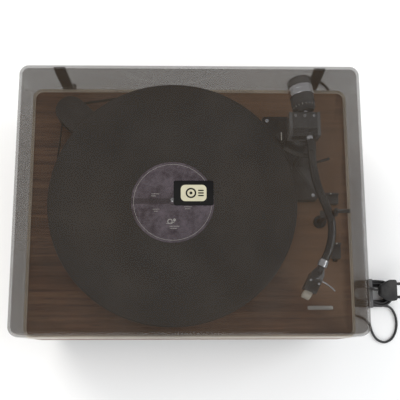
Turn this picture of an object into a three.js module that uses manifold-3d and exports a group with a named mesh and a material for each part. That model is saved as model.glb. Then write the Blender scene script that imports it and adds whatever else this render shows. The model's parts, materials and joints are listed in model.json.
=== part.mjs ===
// A belt-driven record player with a wood plinth, an S-shaped tone arm and a hinged clear cover.
// Millimetres, +Z up, front of the player at -Y. The origin is on the floor, in the middle of the
// player's outline without its mains lead.
import * as THREE from "three";
import { mergeVertices } from "three/addons/utils/BufferGeometryUtils.js";
import Module from "manifold-3d";

const wasm = await Module();
wasm.setup();

// ---- Driving dimensions ----
const PLINTH_WIDTH = 400;
const PLINTH_DEPTH = 318;
const PLINTH_CORNER = 12;
const WOOD_HEIGHT = 38;
const WOOD_WALL = 12;
const TOP_BOARD = 14;
const TRAY_HEIGHT = 28;
const TRAY_INSET = 8;
const TRAY_CORNER = 20;
const TRAY_WALL = 3;
const FOOT_HEIGHT = 14;
const FOOT_RADIUS = 18;
const FOOT_INSET_X = 35;
const FOOT_INSET_Y = 34;

const COVER_HEIGHT = 65.3;
const COVER_WALL = 3;
const COVER_EDGE = 8;

const RECORD_RADIUS = 150.8;
const RECORD_THICKNESS = 1.5;
const LABEL_RADIUS = 50;
const MAT_THICKNESS = 1.8;
const PLATTER_RADIUS = 147.5;
const PLATTER_HEIGHT = 16.5;
const PLATTER_PLATE = 6;
const PLATTER_X = -21;
const PLATTER_Y = 4;
const SPINDLE_RADIUS = 3.55;
const SHAFT_RADIUS = 6;

const BELT_THICKNESS = 0.8;
const BELT_WIDTH = 5;
const PULLEY_RADIUS = 9;
const MOTOR_RADIUS = 20;
const MOTOR_HEIGHT = 30;
const MOTOR_X = -149;
const MOTOR_Y = 124;

const PIVOT_X = 139;
const PIVOT_Y = 97;
const ARM_HEIGHT = 45; // of the tube's middle over the plinth
const ARM_TUBE_RADIUS = 4.75;
const ARM_TURN = 8.6; // degrees that the parked arm stands away from straight ahead
const WEIGHT_RADIUS = 14.5;
const WEIGHT_SHAFT = 3.5;
const SHELL_WIDTH = 15;
const STYLUS_CLEARANCE = 0.4; // of the parked stylus over the record's level

const CORD_RADIUS = 1.6;

const FIT = 0.3; // between pieces that sit in or beside each other
const SEAT = 0.1; // under a piece that rests on another
const RUNNING = 0.2; // round a shaft in its bore

// ---- Levels that follow ----
const TRAY_BASE = FOOT_HEIGHT + SEAT;
const WOOD_BASE = TRAY_BASE + TRAY_HEIGHT + SEAT;
const TOP = WOOD_BASE + WOOD_HEIGHT;
const PLATTER_BASE = TOP + 4;
const MAT_BASE = PLATTER_BASE + PLATTER_HEIGHT + SEAT;
const RECORD_BASE = MAT_BASE + MAT_THICKNESS + SEAT;
const RECORD_TOP = RECORD_BASE + RECORD_THICKNESS;
const PIVOT_Z = TOP + ARM_HEIGHT;
const COVER_BASE = TOP + 0.4;

// ---- Lid hinges, on the back of the plinth ----
const HINGE_SPREAD = 156; // of each hinge from the middle
const HINGE_OUT = 8; // of the axis behind the plinth
const HINGE_DROP = 8; // of the axis below the plinth's top
const HINGE_EYE = 5;
const HINGE_PIN = 2.2;
const EYE_WIDTH = 7;
const HINGE_BAR_WIDTH = 14;
const HINGE_BAR_THICKNESS = 3.5;
const HINGE_BAR_TOP = 50; // over the plinth's top
const REAR_OVERHANG = HINGE_OUT + HINGE_EYE;

const BACK = PLINTH_DEPTH / 2;
const FRONT = -BACK;
const SIDE = PLINTH_WIDTH / 2;

// ---- Finishes ----
const finish = (color, roughness, metalness = 0) =>
  new THREE.MeshStandardMaterial({ color, roughness, metalness });
const walnut = () => finish(0x6a432c, 0.5);
const blackPlastic = () => finish(0x17171a, 0.45);
const rubber = () => finish(0x0f0f10, 0.9);
const chrome = () => finish(0xc9c9cc, 0.15, 1);
const castMetal = () => finish(0x9a9a9c, 0.5, 0.9);
const vinyl = () => finish(0x101010, 0.3);
const paper = () => finish(0x5a4b58, 0.7);
const creamPlastic = () => finish(0xd8d2c0, 0.5);
const boardGreen = () => finish(0x1f5a38, 0.6);
const smoked = () => {
  const clear = finish(0x6b5d50, 0.08);
  clear.transparent = true;
  clear.opacity = 0.4;
  return clear;
};

// ---- The assembly: every piece is placed from the middle of the plinth's outline ----
const player = new THREE.Group();
player.position.y = -REAR_OVERHANG / 2;

function piece(name, shape, material, group = player) {
  const geometry = shape.isBufferGeometry ? shape : geometryOf(shape);
  const mesh = new THREE.Mesh(geometry, material);
  mesh.name = name;
  group.add(mesh);
  return mesh;
}

// ---- Solids: three.js shapes, joined and cut where a piece needs it ----
function solid(geometry) {
  const bare = geometry.index ? geometry.toNonIndexed() : geometry.clone();
  bare.deleteAttribute("normal");
  bare.deleteAttribute("uv");
  const merged = mergeVertices(bare, 1e-4);
  const mesh = new wasm.Mesh({
    numProp: 3,
    vertProperties: merged.attributes.position.array,
    triVerts: new Uint32Array(merged.index.array),
  });
  return new wasm.Manifold(mesh);
}

const asSolid = (shape) => (shape.isBufferGeometry ? solid(shape) : shape);
const join = (first, ...others) =>
  others.reduce((all, next) => all.add(asSolid(next)), asSolid(first));
const cut = (first, ...others) =>
  others.reduce((all, next) => all.subtract(asSolid(next)), asSolid(first));

function geometryOf(manifold) {
  const mesh = manifold.getMesh();
  const geometry = new THREE.BufferGeometry();
  geometry.setAttribute("position", new THREE.BufferAttribute(mesh.vertProperties, 3));
  geometry.setIndex(new THREE.BufferAttribute(mesh.triVerts, 1));
  const flat = geometry.toNonIndexed();
  flat.computeVertexNormals();
  return flat;
}

// A box centred on x, y, standing on z.
const block = (width, depth, height, x, y, z) =>
  new THREE.BoxGeometry(width, depth, height).translate(x, y, z + height / 2);

// An upright round bar standing on z.
const bar = (radius, height, x, y, z, sides = 24) =>
  new THREE.CylinderGeometry(radius, radius, height, sides)
    .rotateX(Math.PI / 2)
    .translate(x, y, z + height / 2);

// A round bar lying along X or along Y, centred on x, y, z.
const barAlongX = (radius, length, x, y, z, sides = 18) =>
  new THREE.CylinderGeometry(radius, radius, length, sides).rotateZ(Math.PI / 2).translate(x, y, z);
const barAlongY = (radius, length, x, y, z, sides = 18) =>
  new THREE.CylinderGeometry(radius, radius, length, sides).translate(x, y, z);

// A turned piece about Z: the profile's [radius, height] points run from bottom to top outside.
const turned = (profile, sides = 32) =>
  new THREE.LatheGeometry(
    profile.map(([r, z]) => new THREE.Vector2(r, z)),
    sides,
  ).rotateX(Math.PI / 2);

function arcPoints(x, y, radius, from, to, steps) {
  const points = [];
  for (let i = 0; i <= steps; i++) {
    const a = from + ((to - from) * i) / steps;
    points.push(new THREE.Vector2(x + radius * Math.cos(a), y + radius * Math.sin(a)));
  }
  return points;
}

// The outline of a rectangle with round corners, in the same number of points for any size.
function roundedOutline(width, depth, radius, steps = 6) {
  const x = width / 2 - radius;
  const y = depth / 2 - radius;
  const centres = [
    [x, y],
    [-x, y],
    [-x, -y],
    [x, -y],
  ];
  return centres.flatMap(([cx, cy], i) =>
    arcPoints(cx, cy, radius, (i * Math.PI) / 2, ((i + 1) * Math.PI) / 2, steps),
  );
}

// A flat piece of any outline, from z up to z + height.
const slab = (outline, z, height, holes = []) => {
  const shape = new THREE.Shape(outline);
  shape.holes = holes.map((hole) => new THREE.Path(hole));
  const flat = new THREE.ExtrudeGeometry(shape, { depth: height, bevelEnabled: false });
  return flat.translate(0, 0, z);
};

// A closed solid through outlines of equal point counts, each at its own height.
function stacked(rings) {
  const count = rings[0].outline.length;
  const positions = rings.flatMap(({ outline, z }) => outline.flatMap((p) => [p.x, p.y, z]));
  const index = [];
  for (let r = 0; r < rings.length - 1; r++) {
    for (let i = 0; i < count; i++) {
      const a = r * count + i;
      const b = r * count + ((i + 1) % count);
      index.push(a, b, b + count, a, b + count, a + count);
    }
  }
  const last = (rings.length - 1) * count;
  for (const [a, b, c] of THREE.ShapeUtils.triangulateShape(rings[0].outline, [])) {
    index.push(a, c, b);
    index.push(last + a, last + b, last + c);
  }
  const geometry = new THREE.BufferGeometry();
  geometry.setAttribute("position", new THREE.Float32BufferAttribute(positions, 3));
  geometry.setIndex(index);
  return geometry;
}

// A flat piece standing across X: its outline is given in [y, z], its middle is at x = 0.
const ACROSS = new THREE.Matrix4().makeBasis(
  new THREE.Vector3(0, 1, 0),
  new THREE.Vector3(0, 0, 1),
  new THREE.Vector3(1, 0, 0),
);
const sideSlab = (outline, width) =>
  slab(
    outline.map(([y, z]) => new THREE.Vector2(y, z)),
    -width / 2,
    width,
  ).applyMatrix4(ACROSS);

// A bar of round section along a smooth path.
function swept(points, radius, steps, sides = 12) {
  const path = new THREE.CatmullRomCurve3(points.map((p) => new THREE.Vector3(...p)));
  const section = new THREE.Shape(arcPoints(0, 0, radius, 0, 2 * Math.PI, sides).slice(0, sides));
  return new THREE.ExtrudeGeometry(section, { extrudePath: path, steps, bevelEnabled: false });
}

// ---- Plinth, tray and feet ----
const TRAY_WIDTH = PLINTH_WIDTH - 2 * TRAY_INSET;
const TRAY_DEPTH = PLINTH_DEPTH - 2 * TRAY_INSET;
const TRAY_BACK = TRAY_DEPTH / 2;
const BEARING_RADIUS = 19;
const BEARING_BODY = 11;
const PULLEY_HOLE = PULLEY_RADIUS + 4;
const KNOB_X = 174;
const SPEED_Y = 13.5;
const SPEED_TRAVEL = 8;
const START_X = 179;
const START_Y = -52.5;
const START_TRAVEL = 10;
const STEM_WIDTH = 5;
const STEM_DEPTH = 4;

const BOARD_BASE = TOP - TOP_BOARD;

// A cutter that goes through the plinth's top board for a slider's stem.
function slot(x, y, travel) {
  const width = STEM_WIDTH + 2 * FIT;
  const depth = STEM_DEPTH + travel + 2 * FIT;
  return block(width, depth, TOP_BOARD + 2, x, y - travel / 2, BOARD_BASE - 1);
}

function makePlinth() {
  const outside = slab(
    roundedOutline(PLINTH_WIDTH, PLINTH_DEPTH, PLINTH_CORNER),
    WOOD_BASE,
    WOOD_HEIGHT,
  );
  const hollow = slab(
    roundedOutline(PLINTH_WIDTH - 2 * WOOD_WALL, PLINTH_DEPTH - 2 * WOOD_WALL, PLINTH_CORNER / 2),
    WOOD_BASE - 1,
    WOOD_HEIGHT - TOP_BOARD + 1,
  );
  const through = (radius, x, y) => bar(radius, TOP_BOARD + 2, x, y, BOARD_BASE - 1);
  return cut(
    outside,
    hollow,
    through(BEARING_BODY + FIT, PLATTER_X, PLATTER_Y),
    through(PULLEY_HOLE, MOTOR_X, MOTOR_Y),
    slot(KNOB_X, SPEED_Y, SPEED_TRAVEL),
    slot(START_X, START_Y, START_TRAVEL),
  );
}

const PANEL_WIDTH = 150;
const PANEL_HEIGHT = 20;
const PANEL_THICKNESS = 2;
const PANEL_X = 95;
const PANEL_Z = TRAY_BASE + 4;

function makeTray() {
  const outside = slab(
    roundedOutline(TRAY_WIDTH, TRAY_DEPTH, TRAY_CORNER),
    TRAY_BASE,
    TRAY_HEIGHT,
  );
  const inside = slab(
    roundedOutline(TRAY_WIDTH - 2 * TRAY_WALL, TRAY_DEPTH - 2 * TRAY_WALL, TRAY_CORNER - TRAY_WALL),
    TRAY_BASE + TRAY_WALL,
    TRAY_HEIGHT,
  );
  const window = block(PANEL_WIDTH - 8, 12, PANEL_HEIGHT - 6, PANEL_X, TRAY_BACK, PANEL_Z + 3);
  return cut(outside, inside, window);
}

function makeFoot(x, y) {
  const rim = 1.5;
  const profile = [
    [0, 0],
    [FOOT_RADIUS - rim, 0],
    [FOOT_RADIUS, rim],
    [FOOT_RADIUS, FOOT_HEIGHT * 0.55],
    [FOOT_RADIUS - 4, FOOT_HEIGHT * 0.7],
    [FOOT_RADIUS - 4, FOOT_HEIGHT],
    [0, FOOT_HEIGHT],
  ];
  return turned(profile, 24).translate(x, y, 0);
}

piece("wood_plinth", makePlinth(), walnut());
piece("base_tray", makeTray(), blackPlastic());
for (const [end, y] of [
  ["front", FRONT + FOOT_INSET_Y],
  ["rear", BACK - FOOT_INSET_Y],
]) {
  piece(`foot_${end}_left`, makeFoot(-SIDE + FOOT_INSET_X, y), rubber());
  piece(`foot_${end}_right`, makeFoot(SIDE - FOOT_INSET_X, y), rubber());
}

// ---- Rear panel with its sockets ----
const SOCKET_Z = PANEL_Z + PANEL_HEIGHT / 2;
const PANEL_Y = TRAY_BACK + SEAT;
const PANEL_FACE = PANEL_Y + PANEL_THICKNESS;
const SOCKET_HOLE = 4;
const RCA_LEFT_X = PANEL_X - 45;
const RCA_RIGHT_X = RCA_LEFT_X + 14;
const GROUND_X = RCA_RIGHT_X + 18;
const SWITCH_X = PANEL_X + 18;
const SWITCH_WIDTH = 19;
const SWITCH_HEIGHT = 12;
const GLAND_X = PANEL_X + 55;
const GLAND_BORE = 5;

function makePanel() {
  const middle = PANEL_Y + PANEL_THICKNESS / 2;
  const plate = block(PANEL_WIDTH, PANEL_THICKNESS, PANEL_HEIGHT, PANEL_X, middle, PANEL_Z);
  const hole = (x, radius) => barAlongY(radius + FIT, 8, x, PANEL_FACE, SOCKET_Z);
  const switchHeight = SWITCH_HEIGHT + 2 * FIT;
  const switchBase = SOCKET_Z - switchHeight / 2;
  return cut(
    plate,
    hole(RCA_LEFT_X, SOCKET_HOLE),
    hole(RCA_RIGHT_X, SOCKET_HOLE),
    hole(GROUND_X, 2),
    hole(GLAND_X, GLAND_BORE),
    block(SWITCH_WIDTH + 2 * FIT, 8, switchHeight, SWITCH_X, PANEL_FACE, switchBase),
  );
}

// A turned piece whose axis points backwards out of the panel's face.
const outOfPanel = (profile, x, sides = 16) =>
  turned(profile, sides).rotateX(-Math.PI / 2).translate(x, PANEL_FACE, SOCKET_Z);

function makeSocket(x) {
  const bore = 1.7;
  const profile = [
    [0, -8],
    [SOCKET_HOLE, -8],
    [SOCKET_HOLE, SEAT],
    [6, SEAT],
    [6, 1.6],
    [SOCKET_HOLE + 0.2, 1.6],
    [SOCKET_HOLE + 0.2, 9],
    [bore, 9],
    [bore, 1],
    [0, 1],
  ];
  return outOfPanel(profile, x);
}

function makeGroundScrew() {
  const profile = [
    [0, -6],
    [1.8, -6],
    [1.8, FIT],
    [4.5, FIT],
    [4.5, 6],
    [3.8, 6.8],
    [0, 6.8],
  ];
  return outOfPanel(profile, GROUND_X, 12);
}

// A rocker seen from its side: a shallow V whose pressed half lies flush with the panel.
const ROCK = 12; // degrees between off and on
function makeSwitch() {
  const half = SWITCH_WIDTH / 2 - FIT;
  const lift = half * Math.tan(THREE.MathUtils.degToRad(ROCK));
  const outline = [
    new THREE.Vector2(-half, -5),
    new THREE.Vector2(half, -5),
    new THREE.Vector2(half, 0.5 + lift),
    new THREE.Vector2(0, 0.5),
    new THREE.Vector2(-half, 0.5),
  ];
  const height = SWITCH_HEIGHT - 2 * FIT;
  return slab(outline, -height / 2, height).translate(SWITCH_X, PANEL_FACE, SOCKET_Z);
}

// The tapered rubber sleeve that the mains lead leaves through.
const GLAND_LENGTH = 24;
function makeGland() {
  const profile = [
    [0, -7],
    [GLAND_BORE, -7],
    [GLAND_BORE, SEAT],
    [6.5, SEAT],
    [6.5, 3],
    [4.6, 4.5],
    [2.8, GLAND_LENGTH],
    [0, GLAND_LENGTH],
  ];
  return outOfPanel(profile, GLAND_X);
}

piece("rear_panel", makePanel(), blackPlastic());
piece("rca_socket_left", makeSocket(RCA_LEFT_X), chrome());
piece("rca_socket_right", makeSocket(RCA_RIGHT_X), chrome());
piece("ground_screw", makeGroundScrew(), chrome());
piece("power_switch", makeSwitch(), blackPlastic());
piece("cord_gland", makeGland(), rubber());

// ---- Main bearing, platter, mat and record, all about the spindle ----
const onSpindle = (profile, sides) => turned(profile, sides).translate(PLATTER_X, PLATTER_Y, 0);
const BEARING_BASE = TOP - 34;
const BEARING_TOP = TOP + 1.8;
const SHAFT_BASE = BEARING_BASE + 4;
const HUB_TOP = PLATTER_BASE + PLATTER_HEIGHT - PLATTER_PLATE;

const bearing = [
  [0, BEARING_BASE],
  [BEARING_BODY, BEARING_BASE],
  [BEARING_BODY, TOP + SEAT],
  [BEARING_RADIUS, TOP + SEAT],
  [BEARING_RADIUS, BEARING_TOP],
  [SHAFT_RADIUS + RUNNING, BEARING_TOP],
  [SHAFT_RADIUS + RUNNING, SHAFT_BASE - SEAT],
  [0, SHAFT_BASE - SEAT],
];
const spindle = [
  [0, SHAFT_BASE],
  [SHAFT_RADIUS, SHAFT_BASE],
  [SHAFT_RADIUS, HUB_TOP - 2],
  [SPINDLE_RADIUS, HUB_TOP],
  [SPINDLE_RADIUS, RECORD_TOP + 7],
  [SPINDLE_RADIUS * 0.55, RECORD_TOP + 9.6],
  [0, RECORD_TOP + 10.4],
];
const HUB_RADIUS = 17;
const SKIRT_WALL = 7;
const platter = [
  [SHAFT_RADIUS + FIT, PLATTER_BASE],
  [HUB_RADIUS, PLATTER_BASE],
  [HUB_RADIUS, HUB_TOP],
  [PLATTER_RADIUS - SKIRT_WALL, HUB_TOP],
  [PLATTER_RADIUS - SKIRT_WALL, PLATTER_BASE],
  [PLATTER_RADIUS, PLATTER_BASE],
  [PLATTER_RADIUS, PLATTER_BASE + PLATTER_HEIGHT - 1],
  [PLATTER_RADIUS - 1, PLATTER_BASE + PLATTER_HEIGHT],
  [SPINDLE_RADIUS + FIT, PLATTER_BASE + PLATTER_HEIGHT],
  [SPINDLE_RADIUS + FIT, HUB_TOP + FIT],
  [SHAFT_RADIUS + FIT, HUB_TOP + FIT - 2],
  [SHAFT_RADIUS + FIT, PLATTER_BASE],
];
const washer = (inner, outer, base, height) => [
  [inner, base],
  [outer, base],
  [outer, base + height],
  [inner, base + height],
  [inner, base],
];
// The record is thicker at its rim and under its label than across the grooves.
const record = [
  [SPINDLE_RADIUS + FIT, RECORD_BASE],
  [RECORD_RADIUS - 0.6, RECORD_BASE],
  [RECORD_RADIUS, RECORD_BASE + RECORD_THICKNESS / 2],
  [RECORD_RADIUS - 0.6, RECORD_TOP],
  [RECORD_RADIUS - 3, RECORD_TOP],
  [RECORD_RADIUS - 4.5, RECORD_TOP - 0.25],
  [LABEL_RADIUS + 5, RECORD_TOP - 0.25],
  [LABEL_RADIUS + 3, RECORD_TOP],
  [SPINDLE_RADIUS + FIT, RECORD_TOP],
  [SPINDLE_RADIUS + FIT, RECORD_BASE],
];

piece("bearing_housing", onSpindle(bearing, 32), castMetal());
piece("spindle", onSpindle(spindle, 32), chrome());
piece("platter", onSpindle(platter, 56), castMetal());
piece(
  "slip_mat",
  onSpindle(washer(SPINDLE_RADIUS + FIT, PLATTER_RADIUS - 2, MAT_BASE, MAT_THICKNESS), 48),
  rubber(),
);
piece("vinyl_record", onSpindle(record, 60), vinyl());
piece(
  "record_label",
  onSpindle(washer(SPINDLE_RADIUS + FIT, LABEL_RADIUS, RECORD_TOP + 0.02, 0.18), 40),
  paper(),
);

// ---- Motor, pulley, belt and the cover over the pulley ----
const BELT_BASE = PLATTER_BASE + 4;
const BELT_GAP = FIT;
const PULLEY_BASE = TOP - 4;
const MOTOR_TOP = TOP - TOP_BOARD - 2;

const motorBody = [
  [0, MOTOR_TOP - MOTOR_HEIGHT],
  [MOTOR_RADIUS, MOTOR_TOP - MOTOR_HEIGHT],
  [MOTOR_RADIUS, MOTOR_TOP],
  [6, MOTOR_TOP],
  [6, MOTOR_TOP + 2.5],
  [2.5, MOTOR_TOP + 2.5],
  [2.5, MOTOR_TOP - 8],
  [0, MOTOR_TOP - 8],
];
const pulley = [
  [0, MOTOR_TOP - 7],
  [2, MOTOR_TOP - 7],
  [2, PULLEY_BASE],
  [PULLEY_RADIUS - 2, PULLEY_BASE],
  [PULLEY_RADIUS - 2, BELT_BASE - 2],
  [PULLEY_RADIUS + 1, BELT_BASE - 1.6],
  [PULLEY_RADIUS, BELT_BASE - 0.6],
  [PULLEY_RADIUS, BELT_BASE + BELT_WIDTH + 0.6],
  [PULLEY_RADIUS + 1, BELT_BASE + BELT_WIDTH + 1.6],
  [PULLEY_RADIUS - 2, BELT_BASE + BELT_WIDTH + 2.2],
  [0, BELT_BASE + BELT_WIDTH + 2.2],
];

// The closed loop that lies against both wheels, offset outwards from them.
const motorAway = Math.hypot(MOTOR_X - PLATTER_X, MOTOR_Y - PLATTER_Y);
const motorAngle = Math.atan2(MOTOR_Y - PLATTER_Y, MOTOR_X - PLATTER_X);
function beltLoop(offset) {
  const large = PLATTER_RADIUS + offset;
  const small = PULLEY_RADIUS + offset;
  const lean = Math.acos((large - small) / motorAway);
  const from = motorAngle - lean;
  const to = motorAngle + lean;
  return [
    ...arcPoints(MOTOR_X, MOTOR_Y, small, from, to, 10),
    ...arcPoints(PLATTER_X, PLATTER_Y, large, to, from + 2 * Math.PI, 52),
  ];
}
function makeBelt() {
  return slab(beltLoop(BELT_GAP + BELT_THICKNESS), BELT_BASE, BELT_WIDTH, [beltLoop(BELT_GAP)]);
}

const POD_RADIUS = 18.5;
const POD_WALL = 2;
const POD_HEIGHT = 17.5;
// A capsule that runs from the motor towards the spindle and is open where it meets the platter.
function podOutline(radius) {
  const reach = motorAway - PLATTER_RADIUS + 4;
  const far = [
    MOTOR_X - reach * Math.cos(motorAngle),
    MOTOR_Y - reach * Math.sin(motorAngle),
  ];
  const quarter = Math.PI / 2;
  return [
    ...arcPoints(MOTOR_X, MOTOR_Y, radius, motorAngle - quarter, motorAngle + quarter, 16),
    ...[1, -1].map(
      (side) =>
        new THREE.Vector2(
          far[0] - side * radius * Math.sin(motorAngle),
          far[1] + side * radius * Math.cos(motorAngle),
        ),
    ),
  ];
}
// A cutter that keeps a piece on the plinth clear of the platter and its belt.
const aroundPlatter = (gap, height) =>
  bar(PLATTER_RADIUS + BELT_THICKNESS + gap, height, PLATTER_X, PLATTER_Y, TOP - 2, 120);

function makePod() {
  const outside = slab(podOutline(POD_RADIUS), TOP + SEAT, POD_HEIGHT);
  const inside = slab(podOutline(POD_RADIUS - POD_WALL), TOP - 1, POD_HEIGHT - POD_WALL + 1);
  const platterRoom = aroundPlatter(2, POD_HEIGHT + 4);
  const beltRoom = slab(beltLoop(BELT_GAP + BELT_THICKNESS + 1.5), BELT_BASE - 1.5, BELT_WIDTH + 3);
  return cut(outside, inside, platterRoom, beltRoom);
}

piece("motor", turned(motorBody, 28).translate(MOTOR_X, MOTOR_Y, 0), castMetal());
piece("motor_pulley", turned(pulley, 28).translate(MOTOR_X, MOTOR_Y, 0), creamPlastic());
piece("drive_belt", makeBelt(), rubber());
piece("pulley_cover", makePod(), blackPlastic());

// ---- Electronics on the tray's floor, behind the rear panel ----
const TRAY_FLOOR = TRAY_BASE + TRAY_WALL;
function makeBoard() {
  const x = PANEL_X - 20;
  const y = TRAY_BACK - 55;
  const z = TRAY_FLOOR + SEAT;
  const plate = block(95, 60, 1.6, x, y, z + 4);
  const leg = (i, j) => bar(2.5, 4.2, x + 43 * i, y + 25 * j, z, 10);
  const legs = [leg(-1, -1), leg(-1, 1), leg(1, -1), leg(1, 1)];
  const parts = [-30, -8, 14].map((dx) => bar(6, 14, x + dx, y + 8, z + 5, 12));
  return join(plate, ...legs, ...parts, block(22, 14, 9, x + 30, y - 14, z + 5));
}
function makeTransformer() {
  const x = PANEL_X + 58;
  const y = TRAY_BACK - 55;
  const z = TRAY_FLOOR + SEAT;
  const core = block(34, 42, 26, x, y, z);
  const coil = block(44, 26, 20, x, y, z + 3);
  const bracket = block(34, 54, 2, x, y, z);
  return join(core, coil, bracket);
}
piece("control_board", makeBoard(), boardGreen());
piece("transformer", makeTransformer(), castMetal());

// ---- Tone arm base, fixed on the plinth ----
const BASE_TOP = TOP + 10;
const BASE_RIGHT = 158;
const BASE_LEFT = 91;
const BASE_FRONT = 11;
const BASE_REAR = 119.6;
const CUE_X = 151;
const CUE_Y = 57;
const CUE_Z = BASE_TOP + 6;
const CUE_AXLE = 1.2;
const CUE_HUB_LENGTH = 8;
const LUG_THICKNESS = 2.4;
const LIFT_RADIUS = 40; // of the lifting bar from the arm's pivot
const LIFT_STEM = 3;
const LIFT_ANGLE = THREE.MathUtils.degToRad(-102); // of the stem, seen from the pivot
const LIFT_X = PIVOT_X + LIFT_RADIUS * Math.cos(LIFT_ANGLE);
const LIFT_Y = PIVOT_Y + LIFT_RADIUS * Math.sin(LIFT_ANGLE);
const ANTISKATE_X = 113;
const ANTISKATE_Y = 89;

function makeArmBase() {
  const width = BASE_RIGHT - BASE_LEFT;
  const depth = BASE_REAR - BASE_FRONT;
  const x = (BASE_LEFT + BASE_RIGHT) / 2;
  const y = (BASE_FRONT + BASE_REAR) / 2;
  const outline = roundedOutline(width, depth, 4, 4);
  const plate = slab(outline, TOP + SEAT, BASE_TOP - TOP - SEAT).translate(x, y, 0);
  const platterRoom = aroundPlatter(2.2, 20);
  const stemHole = bar(LIFT_STEM + FIT, 20, LIFT_X, LIFT_Y, TOP - 4);
  const lug = (side) => {
    const away = side * (CUE_HUB_LENGTH / 2 + FIT + LUG_THICKNESS / 2);
    return block(7, LUG_THICKNESS, CUE_Z + 4 - BASE_TOP, CUE_X, CUE_Y + away, BASE_TOP - 1);
  };
  const axleLength = CUE_HUB_LENGTH + 2 * FIT + LUG_THICKNESS;
  const axle = barAlongY(CUE_AXLE, axleLength, CUE_X, CUE_Y, CUE_Z, 16);
  return join(cut(plate, platterRoom, stemHole), lug(-1), lug(1), axle);
}

const YOKE_DROP = 12.7; // of the yoke's underside below the pivot
const YOKE_BASE = PIVOT_Z - YOKE_DROP;
const PEDESTAL_TOP = YOKE_BASE - FIT;
const pedestal = [
  [0, BASE_TOP + SEAT],
  [17, BASE_TOP + SEAT],
  [17, BASE_TOP + 3],
  [13, BASE_TOP + 5],
  [13, PEDESTAL_TOP],
  [4, PEDESTAL_TOP],
  [4, PEDESTAL_TOP - 8],
  [0, PEDESTAL_TOP - 8],
];

// ---- The swinging yoke and, between its cheeks, the block that carries the arm ----
const CHEEK = 4;
const BLOCK_LEFT = -17.2;
const BLOCK_RIGHT = 11.2;
const BLOCK_FRONT = -19.5;
const BLOCK_REAR = 9.5;
const BLOCK_LOW = -7.5;
const BLOCK_HIGH = 5.5;
const TRUNNION = 1.5;

const BLOCK_WIDTH = BLOCK_RIGHT - BLOCK_LEFT;
const BLOCK_DEPTH = BLOCK_REAR - BLOCK_FRONT;
const BLOCK_X = (BLOCK_LEFT + BLOCK_RIGHT) / 2;
const BLOCK_Y = (BLOCK_FRONT + BLOCK_REAR) / 2;

function makeYoke() {
  const floor = -YOKE_DROP;
  const plate = block(BLOCK_WIDTH + 2 * (FIT + CHEEK), BLOCK_DEPTH, 3.2, BLOCK_X, BLOCK_Y, floor);
  const cheek = (x) => block(CHEEK, BLOCK_DEPTH, BLOCK_HIGH - floor, x, BLOCK_Y, floor);
  const left = BLOCK_LEFT - FIT - CHEEK / 2;
  const right = BLOCK_RIGHT + FIT + CHEEK / 2;
  const trunnion = (x) => barAlongX(TRUNNION, CHEEK + 6, x, 0, 0, 20);
  const post = bar(3.6, 8, 0, 0, floor - 7.6);
  return join(plate, cheek(left), cheek(right), trunnion(left + 3), trunnion(right - 3), post);
}

const TUBE_ROOT = BLOCK_FRONT + 6;
function makePivotBlock() {
  const body = block(BLOCK_WIDTH, BLOCK_DEPTH, BLOCK_HIGH - BLOCK_LOW, BLOCK_X, BLOCK_Y, BLOCK_LOW);
  const step = block(BLOCK_WIDTH + 2, 9, 2.5, BLOCK_X, BLOCK_FRONT + 4, BLOCK_HIGH - 1);
  const bore = barAlongX(TRUNNION + RUNNING, BLOCK_WIDTH + 2, BLOCK_X, 0, 0, 24);
  const reach = 30;
  const turn = THREE.MathUtils.degToRad(ARM_TURN);
  const front = barAlongY(ARM_TUBE_RADIUS + FIT, reach, 0, TUBE_ROOT - reach / 2, 0).rotateZ(turn);
  const rear = barAlongY(WEIGHT_SHAFT + FIT, reach, 0, 4 + reach / 2, 0).rotateZ(turn);
  return cut(body, step, bore, front, rear);
}

const pivot = new THREE.Group();
pivot.position.set(PIVOT_X, PIVOT_Y, PIVOT_Z);
player.add(pivot);
const arm = new THREE.Group();
arm.rotation.z = THREE.MathUtils.degToRad(ARM_TURN);
pivot.add(arm);

piece("arm_base", makeArmBase(), blackPlastic());
piece("arm_pedestal", turned(pedestal, 28).translate(PIVOT_X, PIVOT_Y, 0), blackPlastic());
piece("arm_yoke", makeYoke(), blackPlastic(), pivot);
piece("pivot_block", makePivotBlock(), blackPlastic(), pivot);

// ---- The arm itself: -Y is the way it points, its pivot is the group's origin ----
// The tube's S: straight out of the block, outwards to the right, then in to the headshell.
const TUBE_PATH = [
  [0, TUBE_ROOT - 1.5, 0],
  [-0.6, -35, 0],
  [-2.4, -62, 0],
  [-0.8, -84, 0],
  [4.2, -107, 0],
  [6.6, -124, 0],
  [3.4, -143, 0],
  [-4.4, -160.6, 0],
  [-10, -168.6, 0],
];
const TUBE_END = TUBE_PATH[TUBE_PATH.length - 1];
const TUBE_BEFORE = TUBE_PATH[TUBE_PATH.length - 2];
const SHELL_HEADING = Math.atan2(TUBE_END[0] - TUBE_BEFORE[0], TUBE_BEFORE[1] - TUBE_END[1]);

// Along the arm's own axis behind the pivot, in the order that they are threaded on.
const alongArm = (profile, sides = 32) => turned(profile, sides).rotateX(-Math.PI / 2);
const DIAL_START = 12.4;
const DIAL_LENGTH = 19;
const BAND_LENGTH = 11;
const WEIGHT_LENGTH = 10.5;
const DIAL_END = DIAL_START + DIAL_LENGTH;
const BAND_START = DIAL_END + FIT;
const BAND_END = BAND_START + BAND_LENGTH;
const WEIGHT_START = BAND_END + FIT;
const WEIGHT_END = WEIGHT_START + WEIGHT_LENGTH;
const WEIGHT_BORE = WEIGHT_SHAFT + FIT;

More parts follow.
